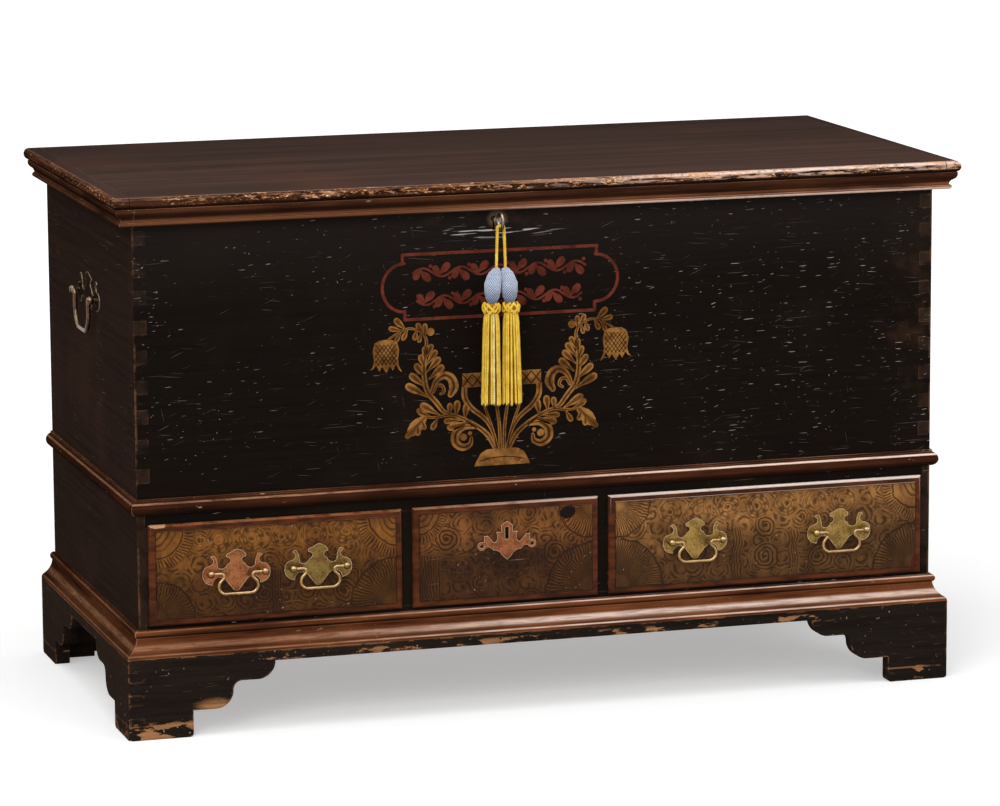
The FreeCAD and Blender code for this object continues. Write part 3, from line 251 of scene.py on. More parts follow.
class Graph:
    """Adds nodes to a tree."""

    def __init__(self, owner):
        owner.use_nodes = True
        self.tree = owner.node_tree

    def put(self, value, socket):
        """Gives a socket a field, a value or a colour of three levels, 0 to 255."""
        if isinstance(value, Field):
            self.tree.links.new(value.socket, socket)
        elif value is not None:
            levels = socket.type == "RGBA" and len(value) == 3
            socket.default_value = srgb(*value) if levels else value

    def node(self, kind, *values, **settings):
        """A new node. values go to its sockets in order, or are a dict of them by name or number."""
        made = self.tree.nodes.new("ShaderNode" + kind)
        for key, setting in settings.items():
            setattr(made, key, setting)
        named = values[0] if values and isinstance(values[0], dict) else dict(enumerate(values))
        for key, value in named.items():
            self.put(value, made.inputs[key])
        return made

    def field(self, kind, *values, out=0, **settings):
        """An output of a new node."""
        return Field(self, self.node(kind, *values, **settings).outputs[out])

    def calc(self, operation, *values):
        return self.field("Math", *values, operation=operation)

    def vector(self, x, y, z=0.0):
        return self.field("CombineXYZ", x, y, z)

    def parts(self, vector):
        return [Field(self, out) for out in self.node("SeparateXYZ", vector).outputs]

    def mix(self, share, first, second):
        """A colour between two colours."""
        return self.field("Mix", {0: share, 6: first, 7: second}, out=2, data_type="RGBA")

    def larger(self, *values):
        most = values[0]
        for value in values[1:]:
            most = self.calc("MAXIMUM", most, value)
        return most

    def reach(self, u, v):
        """The length of the two sides together."""
        return self.calc("SQRT", u * u + v * v)

    def seen_rays(self):
        """1 for the rays that show the background: to the camera, off gloss and through glass."""
        path = self.node("LightPath")
        kinds = ("Is Camera Ray", "Is Glossy Ray", "Is Transmission Ray")
        return self.larger(*[Field(self, path.outputs[kind]) for kind in kinds])


class Coat(Graph):
    """One material. Places are in millimetres in the frame of the solids at rest."""

    def __init__(self, name):
        self.material = bpy.data.materials.new(name)
        super().__init__(self.material)
        self.shader = self.tree.nodes["Principled BSDF"]
        coords = self.node("TexCoord")
        metres = Field(self, coords.outputs["Object"])
        self.place = self.field("VectorMath", metres, (1 / MM,) * 3, operation="MULTIPLY")
        self.x, self.y, self.z = self.parts(self.place)
        self.face_x, self.face_y, self.face_z = self.parts(Field(self, coords.outputs["Normal"]))
        self.normal = self.field("NewGeometry", out="Normal")

    def noise(self, size, detail=3.0, rough=0.55, place=None, offset=0.0):
        """Cloudy noise from 0 to 1. size is that of a cloud in millimetres; one per axis makes streaks."""
        sizes = (size, size, size) if isinstance(size, (int, float)) else size
        scale = tuple(1 / length for length in sizes)
        place = self.place if place is None else place
        moved = self.field("VectorMath", place, scale, (offset,) * 3, operation="MULTIPLY_ADD")
        return self.field("TexNoise", {"Vector": moved, "Scale": 1.0, "Detail": detail, "Roughness": rough})

    def streaks(self, run, length, width, detail, rough, offset=0.0):
        """Noise in streaks of a length and a width. run is the place along them, which is X or Y."""
        rest = self.x + self.y - run
        return self.noise(1, detail, rough, self.vector(run / length, self.z / width, rest / width), offset)

    def cells(self, place, random_share=1.0):
        """Scattered spots: the distance to the nearest, in cells, its own random number and its place."""
        made = self.node("TexVoronoi", {"Vector": place, "Scale": 1.0, "Randomness": random_share})
        names = ("Distance", "Color", "Position")
        distance, tint, middle = [Field(self, made.outputs[name]) for name in names]
        return distance, self.field("SeparateColor", tint), middle

    def spot(self, centre, radii):
        """A soft patch about a place on the front."""
        return self.reach((self.x - centre[0]) / radii[0], (self.z - centre[1]) / radii[1]).ease(1.0, 0.3)

    def edges(self, radius, low=0.02, high=0.16):
        """1 at the edges of a solid, falling to 0 at about a radius from them."""
        rounded = self.field("Bevel", radius * MM, samples=6)
        agree = self.field("VectorMath", rounded, self.normal, out="Value", operation="DOT_PRODUCT")
        return (1 - agree).ease(low, high)

    def scratches(self, u, v, *sets):
        """Thin lines, 0 to 1. A set is their angle, length, width, share of the surface and noise offset."""
        found = []
        for angle, length, width, share, offset in sets:
            along = u * math.cos(angle) + v * math.sin(angle)
            athwart = v * math.cos(angle) - u * math.sin(angle)
            lines = self.noise(1, 1, 0.5, self.vector(along / length, athwart / width), offset)
            start = 0.5 + 0.28 * (1 - share)
            found.append(lines.ease(start, start + 0.05))
        return self.larger(*found)

    def finish(self, colour, roughness, height=None, depth=0.5, metallic=0.0, specular=0.0):
        """Connects colour, roughness and a bump of some millimetres, and returns the material."""
        values = {"Base Color": colour, "Roughness": roughness}
        values |= {"Metallic": metallic, "Specular IOR Level": specular}
        if height is not None:
            values["Normal"] = self.field("Bump", {"Distance": depth * MM, "Height": height})
        for name, value in values.items():
            self.put(value, self.shader.inputs[name])
        return self.material


def dress(material, *names):
    """Gives solids a material."""
    for name in names:
        for place in nodes[name].material_slots:
            place.material = material


def thread(name, pale, deep, shaded=None):
    """Silky twisted yarn. shaded is the tint of a head's foot."""
    coat = Coat(name)
    fibres = coat.noise((1.1, 1.1, 3.8), 3, 0.6)
    tone = coat.noise(16, 2)
    colour = coat.mix((fibres * 0.6 + tone * 0.4).ease(0.35, 0.65), deep, pale)
    if shaded:
        colour.cover(coat.z.ease(*HEAD_SHADE), shaded)
    return coat.finish(colour, fibres.ease(0.0, 1.0) * 0.2 + 0.5, fibres, 0.3, specular=0.1)


# Tassels, with the cords first. The numbers are millimetres.

TASSEL_X, TASSEL_Y = -73.0, -308.3
CORD_TOP = 723.7
CORD_THICK = 5 * MM
CORD_PITCH = 11 * MM
# Distance out from the middle, and height
CORD_ROUTE = ((0, CORD_TOP), (4.37, CORD_TOP), (5.12, 719.4), (7, 659.5))
# Heights between which a head passes into its shaded foot
HEAD_SHADE = (645, 612)

yellow_thread = thread("yellow_thread", (250, 218, 92), (216, 168, 44))
# Darker copies of the yarn, painted shade for inner cords, the collar's core and the dents of the heads
shaded_yellow = thread("deep_yellow_thread", (170, 122, 26), (120, 82, 14))
silver_thread = thread("silver_thread", (244, 232, 178), (204, 182, 112))
blue_thread = thread("blue_thread", (244, 248, 252), (214, 222, 236), (176, 188, 210))
shaded_blue = thread("deep_blue_thread", (156, 172, 200), (120, 136, 168), (58, 70, 98))


def route_line(name, side):
    """Points along the smooth line of a strand's route."""
    data = bpy.data.curves.new(name, "CURVE")
    data.dimensions = "3D"
    data.resolution_u = 24
    spline = data.splines.new("NURBS")
    spline.points.add(len(CORD_ROUTE) - 1)
    for point, (out, height) in zip(spline.points, CORD_ROUTE):
        point.co = ((TASSEL_X + side * out) * MM, TASSEL_Y * MM, height * MM, 1)
    spline.order_u = 3
    spline.use_endpoint_u = True
    route = bpy.data.objects.new(name, data)
    mesh = bpy.data.meshes.new_from_object(route)
    line = [vertex.co.copy() for vertex in mesh.vertices]
    bpy.data.objects.remove(route)
    bpy.data.meshes.remove(mesh)
    return line


def radius_at(profile, height):
    """The radius at a height, between the points of a profile."""
    for (low, first), (high, second) in zip(profile, profile[1:]):
        if height <= high:
            share = (height - low) / (high - low)
            share = share * share * (3 - 2 * share)
            return first + (second - first) * share
    return profile[-1][1]


def round_about(middle, radius, angle, height):
    """A point at a radius and an angle about a tassel's middle line."""
    return Vector((
        (middle + radius * math.cos(angle)) * MM, (TASSEL_Y + radius * math.sin(angle)) * MM, height * MM,
    ))


# Height and radius
HEAD_PROFILE = (
    (610, 4.6), (614, 6.8), (621, 9.7), (630, 11.4), (639, 11.8), (648, 10.8), (655, 8.8), (660, 6.0),
    (663, 3.2),
)
HEAD_LOW, HEAD_HIGH = HEAD_PROFILE[0][0], HEAD_PROFILE[-1][0]
# How far the middle of a head is from the middle of the pair, by height
HEAD_LEAN = ((610, 13.4), (625, 13.0), (639, 12.4), (651, 10.0), (663, 7.0))
HEAD_STITCHES = 10
HEAD_ROWS = 14
# Height of a stitch, how far the net lies in between stitches, and the part of a stitch that counts as dent
STITCH_RISE, NET_DEPTH, DENT_PART = 1.3, 0.7, 0.26


def tassel_head(side, sign):
    """A netted oval: rows of slanting stitches over a wooden core."""
    shape = Shape()
    around, high = 160, 112
    rings = []
    dents = []
    for row in range(high + 1):
        share = row / high
        height = HEAD_LOW + (HEAD_HIGH - HEAD_LOW) * share
        smooth = radius_at(HEAD_PROFILE, height)
        middle = TASSEL_X + sign * radius_at(HEAD_LEAN, height)
        ring = []
        for at in range(around):
            angle = TURN * at / around
            left = math.sin(HEAD_STITCHES * angle + math.pi * HEAD_ROWS * share)
            right = math.sin(HEAD_STITCHES * angle - math.pi * HEAD_ROWS * share)
            bump = (abs(left) * abs(right)) ** 0.6
            dents.append(bump)
            stitch = (bump * STITCH_RISE - NET_DEPTH) * min(1, smooth / 8)
            ring.append(round_about(middle, smooth + stitch, angle, height))
        rings.append(ring)
    shape.rings(rings)
    # Dents between the stitches take the shaded blue: painted shade
    shape.tints = [int(min(dents[corner] for corner in face) < DENT_PART) for face in shape.faces]
    tints = [blue_thread, shaded_blue]
    made = piece(f"tassel_head_{side}", shape, tints, "tassel", smooth=True)
    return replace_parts(made, "tassel_heads")


COLLAR_SPREAD = 14.8
COLLAR_CORE = ((596, 8.6), (599, 10.0), (604, 10.6), (609, 9.6), (612, 7.4))
COLLAR_LOOPS = 7
# A loop: middle height, half of its height, radius at its ends and how far it stands out between them
LOOP_MIDDLE, LOOP_RISE, LOOP_RADIUS, LOOP_BULGE = 604, 5.8, 9.4, 2.4
LOOP_CORD, LOOP_PITCH = 2.3, 7


def tassel_collar(side, sign, dice):
    """A knotted ruff: thick loops of cord that cross over one another round a core."""
    middle = TASSEL_X + sign * COLLAR_SPREAD
    shape = Shape()
    shape.rings([
        [round_about(middle, radius, TURN * at / 32, height) for at in range(32)]
        for height, radius in COLLAR_CORE
    ])
    # The core takes the shaded yellow: painted shade under the loops
    shape.tints = [1] * len(shape.faces)
    for lean in (-1, 1):
        for loop in range(COLLAR_LOOPS):
            start = TURN * (loop + dice.uniform(-0.2, 0.2)) / COLLAR_LOOPS
            rise = dice.uniform(-1.6, 1.6)
            line = []
            for step in range(15):
                share = step / 14
                arc = math.pi * share
                angle = start + lean * (share - 0.5) * 1.25
                height = LOOP_MIDDLE + rise + LOOP_RISE * math.cos(arc)
                radius = LOOP_RADIUS + LOOP_BULGE * math.sin(arc) + 0.4 * lean
                line.append(round_about(middle, radius, angle, height))
            twisted(shape, line, LOOP_CORD * MM, 2, LOOP_PITCH * MM, 7, phase=dice.uniform(0, TURN))
    tints = [yellow_thread, shaded_yellow]
    made = piece(f"tassel_collar_{side}", shape, tints, "tassel", smooth=True)
    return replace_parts(made, "tassel_collars")


FRINGE_TOP, FRINGE_END = 599, 460.5
# How far the middle of a fringe is from the middle of the pair, at its top and at its end
FRINGE_SPREAD = (COLLAR_SPREAD, 15.9)
# Number of cords, the radius of their ring at the top and at the end, and their tint; the inner layers take
# the shaded yellow as painted shade
FRINGE_LAYERS = ((17, 9.8, 13.2, 0), (12, 6.6, 8.8, 1), (5, 2.6, 3.8, 1))
FRINGE_CORD, FRINGE_PITCH = 2.0, 9
SILVER_CORD = 13


def tassel_fringe(side, sign, dice):
    """A skirt of twisted cords with rounded ends, one of them silver on the left."""
    shape = Shape()

    def rounding(share):
        return math.sqrt(max(1 - max((share - 0.985) / 0.015, 0) ** 2, 0.02))

    for count, top, low, tint in FRINGE_LAYERS:
        for number in range(count):
            angle = TURN * (number + dice.uniform(-0.16, 0.16)) / count
            end = FRINGE_END + dice.uniform(0, 4.0)
            sway = dice.uniform(-0.08, 0.08)
            wave, depth = dice.uniform(0, TURN), dice.uniform(0.1, 0.5)
            line = []
            for step in range(41):
                share = step / 40
                radius = top + (low - top) * share ** 0.7 + depth * math.sin(wave + 5 * share) * share
                radius = min(radius, low + 0.4) - 2.6 * math.exp(-share * 26)
                middle = TASSEL_X + sign * (FRINGE_SPREAD[0] + (FRINGE_SPREAD[1] - FRINGE_SPREAD[0]) * share)
                height = FRINGE_TOP + (end - FRINGE_TOP) * share
                line.append(round_about(middle, radius, angle + sway * share, height))
            before = len(shape.faces)
            twisted(shape, line, FRINGE_CORD * MM, 3, FRINGE_PITCH * MM, 7, dice.uniform(0, TURN), rounding)
            silver = side == "left" and tint == 0 and number == SILVER_CORD
            shape.tints[before:] = [2 if silver else tint] * (len(shape.faces) - before)
    tints = [yellow_thread, shaded_yellow, silver_thread]
    made = piece(f"tassel_fringe_{side}", shape, tints, "tassel", smooth=True)
    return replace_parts(made, "tassel_skirts")


def tassels():
    """Two strands from the key's bow, each ending in a tassel."""
    dice = random.Random(5)
    for side, sign in (("left", -1), ("right", 1)):
        line = route_line(f"route_{side}", sign)
        rope = Shape()
        twisted(rope, line, CORD_THICK / 2, 3, CORD_PITCH, 10)
        strand = piece(f"cord_{side}", rope, [yellow_thread], "tassel", smooth=True)
        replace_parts(strand, f"tassel_cord_{side}")
        hung = [tassel_head(side, sign), tassel_collar(side, sign, dice)]
        tassel_fringe(side, sign, dice)


tassels()


# Studio

# Glow of the floor near the chest and far from it, and where one passes into the other
FLOOR_NEAR, FLOOR_FAR, FLOOR_FADE = 0.40, 0.75, (1.3, 3.4)
WHITE = (255, 255, 255)
FLOOR_HALF = 14.0
FLOOR_GREY = (0.78, 0.78, 0.78, 1)
SKY_LIGHT = 0.5
# Name, place, what it points at, size and power
LAMPS = (
    ("lamp_top", (-0.6, -0.8, 4.2), (0, 0, 0.4), (4.0, 3.0), 80),
    ("lamp_front", (-3.2, -5.0, 3.4), (0, 0, 0.4), (2.6, 2.6), 130),
    ("lamp_side", (4.2, -3.4, 2.6), (0, 0, 0.4), (2.4, 2.4), 50),
)


def make_floor():
    """A white floor that keeps the shadow and fades into the surround."""
    mesh = bpy.data.meshes.new("floor")
    corners = [(x * FLOOR_HALF, y * FLOOR_HALF, 0) for x, y in ((-1, -1), (1, -1), (1, 1), (-1, 1))]
    mesh.from_pydata(corners, [], [(0, 1, 2, 3)])
    floor = placed("floor", mesh)
    coat = Coat("floor")
    away = coat.reach(coat.x, coat.y).ease(FLOOR_FADE[0] / MM, FLOOR_FADE[1] / MM)
    glow = away.between(FLOOR_NEAR, FLOOR_FAR) * coat.seen_rays()
    coat.put(WHITE, coat.shader.inputs["Emission Color"])
    coat.put(glow, coat.shader.inputs["Emission Strength"])
    mesh.materials.append(coat.finish(FLOOR_GREY, 0.9))


def make_surround():
    """A white surround that gives a softer light than it shows, and lamps."""
    scene.world = bpy.data.worlds.new("surround")
    graph = Graph(scene.world)
    sky = graph.tree.nodes["Background"].inputs
    graph.put(WHITE, sky["Color"])
    level = {"Value": graph.seen_rays(), "To Min": SKY_LIGHT, "To Max": 1.0}
    graph.put(graph.field("MapRange", level), sky["Strength"])
    for name, place, aim, size, power in LAMPS:
        data = bpy.data.lights.new(name, "AREA")
        data.shape = "RECTANGLE"
        data.size, data.size_y = size
        data.energy = power
        lamp = placed(name, data)
        lamp.location = place
        lamp.rotation_euler = (Vector(aim) - Vector(place)).to_track_quat("-Z", "Y").to_euler()


make_floor()
make_surround()


# Wood and paint

INK = (20, 13, 9)
# Middle and radii of patches on the front, along X and Z
RUBBED = (((575, 560), (60, 220)), ((-135, 735), (60, 26)), ((-20, 735), (60, 22)))
KEY_SMEAR = ((-73, 712), (125, 13))
KEYHOLE = ((-68, 730), (19, 16))
SKIRT_LOBE = ((-505, 46), (36, 12))
# From the front of the lid's ends to their back, along Y
LID_ENDS = (FRONT - 20, 314)
# Skirts: heights of the seam above the toes and of the arch's crown, half of its width, and the corner joints
TOE_SEAM = (19.6, 21.4)
ARCH_CROWN = (103, 111)
ARCH_HALF = 455
SKIRT_JOINTS = (608, 627)
# Sets of scratches: angle, length, width, share of the surface and noise offset
CASE_SCRATCHES = (
    (0.02, 90, 1.5, 0.2, 0.0), (-0.10, 70, 1.5, 0.2, 7.0), (0.42, 50, 1.4, 0.14, 13.0),
    (-1.35, 40, 1.4, 0.05, 19.0),
)
SMEAR_SCRATCHES = (0.02, 46, 3.0, 0.7, 3.0)
LID_SCRATCHES = (0.06, 90, 2.2, 0.2, 3.0)
SKIRT_SCRATCHES = ((0.05, 40, 1.5, 0.24, 0.0), (-0.5, 30, 1.4, 0.16, 7.0))
DRAWER_SCRATCHES = ((0.03, 60, 1.4, 0.3, 31.0), (-0.5, 30, 1.3, 0.16, 37.0))


def pine(coat, run, pale, dark):
    """The colour of old unfinished pine whose grain runs along a field, and its relief."""
    grain = coat.streaks(run, 280, 9, 5, 0.62)
    rings = coat.streaks(run, 650, 36, 2, 0.5)
    colour = coat.mix((grain * 0.6 + rings * 0.4).ease(0.35, 0.65), dark, pale)
    colour.cover(coat.noise(240, 4).ease(0.5, 0.8) * 0.5, dark)
    return colour, grain + rings * 0.5


def bare_wood(name, along, pale, dark):
    """Unfinished pine, darkened with age and handling."""
    coat = Coat(name)
    colour, relief = pine(coat, coat.x if along == "x" else coat.y, pale, dark)
    colour.cover(coat.edges(3) * 0.35, (70, 50, 36))
    grime = coat.noise((60, 60, 90), 4, offset=3.0).ease(0.56, 0.72)
    colour.cover(grime * 0.4, (52, 38, 28))
    return coat.finish(colour, relief.ease(0.0, 1.5) * 0.15 + 0.65, relief, 0.8)


def case_paint(name, ends):
    """Old black paint outside, bare pine inside, rubbed brown along the corners, scratched and nicked.

    ends is how far the ends of the joints show brown on the front.
    """
    coat = Coat(name)
    side = abs(coat.face_x).ease(0.4, 0.6)
    u = side.between(coat.x, coat.y)
    grain = coat.streaks(u, 240, 6, 5, 0.62)
    cloud = coat.noise(170, 4)
    rub = coat.noise(34, 5, 0.66)
    front_black = coat.mix(grain.ease(0.25, 0.75), (20, 16, 13), (26, 20, 16))
    front_black.cover(cloud.ease(0.45, 0.75) * 0.5, (34, 26, 21))
    # Painted sheen: lighter and greyer towards the top
    front_black.cover(coat.z.ease(600, 770) * 0.35, (48, 43, 40))
    side_black = coat.mix(grain.ease(0.25, 0.75), (37, 27, 23), (46, 34, 29))
    side_black.cover(cloud.ease(0.45, 0.75) * 0.5, (58, 41, 34))
    colour = coat.mix(side, front_black, side_black)
    front = 1 - side
    # Ends of the joints
    colour.cover(front * ends * rub.ease(0.3, 0.6), (62, 45, 35))
    # Brown where hands and neighbours have rubbed
    worn = coat.larger(*[coat.spot(*patch) for patch in RUBBED])
    colour.cover(worn * rub.ease(0.46, 0.7) * front * 0.28, (74, 50, 36))
    # Fine scratches, most of them nearly level, and dents
    right = coat.x.ease(0, 350)
    patchy = (coat.noise(110, 3, offset=4.0) + right * 0.08).ease(0.44, 0.64)
    lines = coat.scratches(u, coat.z, *CASE_SCRATCHES) * patchy
    smear = coat.scratches(u, coat.z, SMEAR_SCRATCHES) * (coat.spot(*KEY_SMEAR) * front)
    colour.cover(lines * 0.42, (140, 128, 120))
    colour.cover(smear * 0.8, (196, 192, 188))
    gather = (coat.noise(75, 3, offset=8.0) + right * 0.05).ease(0.44, 0.62)
    level = coat.noise(1, 1, 0.5, coat.vector(u / 22, (coat.z - u * 0.03) / 2.4), 21.0)
    slant = coat.noise(1, 1, 0.5, coat.vector((u + coat.z * 0.3) / 15, (coat.z - u * 0.3) / 2.5), 27.0)
    nicks = coat.larger(
        coat.noise(4.4, 1, offset=6.0).ease(0.785, 0.80), (level + right * 0.015).ease(0.725, 0.75),
        slant.ease(0.745, 0.77),
    ) * gather
    colour.cover(nicks * front * 0.55, (190, 180, 172))
    keyhole = coat.spot(*KEYHOLE) * front
    colour.cover(keyhole * rub.ease(0.3, 0.5) * 0.8, (128, 104, 82))
    # Joints show as faint broken lines, and the corner itself is rubbed to the wood
    joint = coat.edges(1.6) * rub.ease(0.42, 0.6)
    colour.cover(joint * 0.42, (112, 88, 70))
    corner = coat.larger(HALF - abs(coat.x), coat.y - FRONT).ease(4.0, 0.6)
    flaked = coat.noise((20, 20, 34), 5, 0.7, offset=2.0).ease(0.46, 0.6)
    colour.cover(corner * flaked * 0.65, (112, 76, 52))
    outside = coat.larger(abs(coat.x).ease(HALF - 0.9, HALF - 0.2), coat.y.ease(FRONT + 0.9, FRONT + 0.2))
    wood, relief = pine(coat, u, (132, 98, 68), (92, 64, 43))
    colour = coat.mix(outside, wood, colour)
    roughness = cloud.ease(0.2, 0.8) * 0.15 + 0.5
    return coat.finish(colour, roughness, grain * 0.3 + rub * 0.2 - lines * 0.4 - nicks + relief * 0.1, 0.5)


def along_edge(coat):
    """The run of a length that goes along the front, or back along an end."""
    ends = coat.y.ease(FRONT - 0.2, FRONT + 0.8)
    return ends.between(coat.x, coat.y)


def stained(name, deep, mid, bright, shine, chip, spread, soft, dull=0.0, highlit_member=None):
    """Stained mouldings: a painted highlight where they face up and out, darker where they face straight up,
    painted shade below and on their ends, and small chips.

    shine and chip are how far the painted highlight and the chips go. The painted highlight grows along X
    between the two places of spread, soft is how far it fades over a curve, and dull is how far the wood is
    darkened, as painted shade, where the highlight is least.
    highlit_member is the heights of a brighter member, which takes more painted highlight towards the right
    and a painted highlight along its lowest fillet.
    """
    coat = Coat(name)
    run = along_edge(coat)
    grain = coat.streaks(run, 150, 5, 5, 0.62)
    pores = coat.streaks(run, 50, 1.1, 2, 0.5)
    drift = coat.streaks(run, 210, 60, 3, 0.55)
    rub = coat.streaks(run, 16, 5, 5, 0.7)
    colour = coat.mix(grain.ease(0.3, 0.7), deep, mid)
    colour.cover(drift.ease(0.4, 0.72) * 0.5, bright)
    colour.cover(pores.ease(0.6, 0.72) * 0.35, INK)
    right = coat.x.ease(*spread) * coat.y.ease(FRONT + 120, FRONT)
    # Painted shade where the painted highlight is least
    colour.cover((1 - right) * dull, (34, 18, 12))
    if highlit_member:
        low, high = highlit_member
        # A brighter member that gets brighter towards the right as painted highlight, and a painted highlight
        # along its lowest fillet
        member = coat.z.band(low, high, 1.5) * drift.ease(0.2, 0.6) * coat.face_z.ease(-0.9, -0.6)
        colour.cover(member * (right * 0.5 + 0.15), (184, 118, 80))
        fillet = coat.z.ease(low + 4.6, low + 2.6) * rub.ease(0.2, 0.5) * coat.face_y.ease(-0.3, -0.7)
        colour.cover(fillet * right * 0.8, (236, 202, 184))
    # Painted highlight where the moulding faces up and out, growing to the right
    painted_gleam = coat.face_z.band(0.58, 0.66, soft) * (drift + right * 0.12 + 0.08).ease(0.3, 0.6)
    streaks = coat.streaks(run, 44, 3, 4, 0.65, 9.0)
    painted_gleam = painted_gleam * (rub + right * 0.1).ease(0.2, 0.5) * (streaks.ease(0.36, 0.6) * 0.5 + 0.5)
    pale = coat.mix(right, (206, 150, 114), (246, 216, 198))
    colour.cover(painted_gleam * (right * 0.5 + 0.5) * shine, pale)
    # Painted shade on the faces that look along X
    colour.cover(abs(coat.face_x).ease(0.2, 0.6) * 0.4, INK)
    # Darker where it faces straight up, with a painted grey glare there towards the right
    top = coat.face_z.ease(0.86, 0.97)
    colour.cover(top * 0.5, INK)
    colour.cover(top * right * grain.ease(0.45, 0.6) * 0.7, (150, 138, 130))
    # Painted shade where it faces down
    below = coat.face_z.ease(-0.1, -0.6)
    colour.cover(below * (0.75 - right * 0.5 if highlit_member else 0.75), INK)
    edge = coat.edges(1.8)
    colour.cover(edge * drift.ease(0.35, 0.6) * 0.5, (206, 146, 108))
    chips = rub.ease(0.63, 0.66) * coat.noise(90, 3, offset=5.0).ease(0.5, 0.62)
    chips = chips * coat.face_z.ease(-0.4, 0.1) * chip
    colour.cover(chips, (214, 164, 126))
    roughness = drift.ease(0.2, 0.8) * 0.15 + 0.38
    return coat.finish(colour, roughness, grain * 0.3 + pores * 0.3 - chips * 0.8, 0.5)


def lid_wood(name, run):
    """The lid: dark wood with faint streaks on top, darker towards the back as painted shade; its nosing
    speckled with chips, with painted highlights and sheen growing to the right and painted shade beneath.
    """
    coat = Coat(name)
    along = {"x": coat.x, "y": coat.y}[run]
    grain = coat.streaks(along, 420, 8, 5, 0.6)
    broad = coat.streaks(along, 700, 40, 3, 0.5)
    colour = coat.mix((grain * 0.5 + broad * 0.5).ease(0.3, 0.7), (60, 46, 41), (76, 58, 51))
    colour.cover(coat.noise(210, 4).ease(0.5, 0.78) * 0.45, (90, 58, 46))
    # Painted shade: darker towards the back
    colour.cover(coat.y.ease(-160, 300) * 0.42, (34, 28, 27))
    dust = coat.scratches(coat.x, coat.y, LID_SCRATCHES)
    colour.cover(dust * 0.3, (136, 112, 100))
    # The seam between board and cleats
    colour.cover(coat.edges(0.9) * 0.3, (140, 112, 96))
    # The rounded edge
    rim = 1 - coat.face_z.ease(0.93, 0.99)
    ends = coat.y.band(*LID_ENDS, 2)
    run_edge = ends.between(coat.x, coat.y)
    worn = coat.streaks(run_edge, 120, 9, 4, 0.55)
    nosing = coat.mix(worn.ease(0.35, 0.68), (32, 19, 13), (72, 42, 28))
    right = coat.x.ease(-150, 300) * (1 - ends * 0.7)
    crackle = coat.streaks(run_edge, 34, 4, 3, 0.6, 25.0)
    # Painted highlight along the upper round of the nosing, growing to the right
    painted_gleam = coat.face_z.band(0.5, 0.78, 0.16) * (worn * 0.5 + crackle * 0.5 + right * 0.12).ease(0.4, 0.6)
    painted_gleam = painted_gleam * (right * 0.65 + 0.3) * (1 - ends * 0.6)
    nosing.cover(painted_gleam, coat.mix(right, (190, 136, 106), (240, 214, 200)))
    # Painted sheen on the front of the nosing towards the right
    painted_sheen = coat.face_z.band(-0.2, 0.5, 0.2) * crackle.ease(0.46, 0.6) * right
    nosing.cover(painted_sheen * 0.7, (222, 190, 172))
    # Painted highlight along the upper arris
    arris_highlight = coat.face_z.band(0.9, 0.95, 0.04) * (1 - ends * 0.6)
    nosing.cover(arris_highlight * (right * 0.4 + 0.3), (206, 172, 152))
    specks = coat.streaks(run_edge, 8, 3.4, 4, 0.7, 5.0)
    patches = coat.noise(85, 3, offset=7.0).ease(0.3, 0.54) * coat.face_z.ease(-0.6, -0.1)
    patches = patches * (1 - ends * coat.y.ease(-250, -40) * 0.75)
    chips = specks.ease(0.52, 0.58) * patches
    nosing.cover(chips * 0.85, (176, 112, 66))
    flakes = specks.ease(0.62, 0.65) * patches
    nosing.cover(flakes * 0.95, (250, 214, 172))
    bare = coat.streaks(run_edge, 46, 8, 4, 0.6, 15.0)
    bare = (bare + right * 0.05).ease(0.6, 0.63) * coat.face_z.ease(-0.5, -0.1) * (1 - ends)
    nosing.cover(bare * (right * 0.5 + 0.4), (220, 170, 134))
    # Painted shade where the nosing faces down
    nosing.cover(coat.face_z.ease(-0.1, -0.7) * 0.75, INK)
    nosing.cover(abs(coat.x).band(CLEAT_SEAM - 0.5, CLEAT_SEAM + 0.5, 0.5) * 0.7, INK)
    colour.cover(rim, nosing)
    wood, _ = pine(coat, along, (128, 94, 66), (88, 62, 42))
    colour.cover(coat.face_z.ease(-0.9, -0.97), wood)
    return coat.finish(colour, grain.ease(0.2, 0.8) * 0.15 + 0.45, grain * 0.4 - chips * rim * 0.8, 0.5)


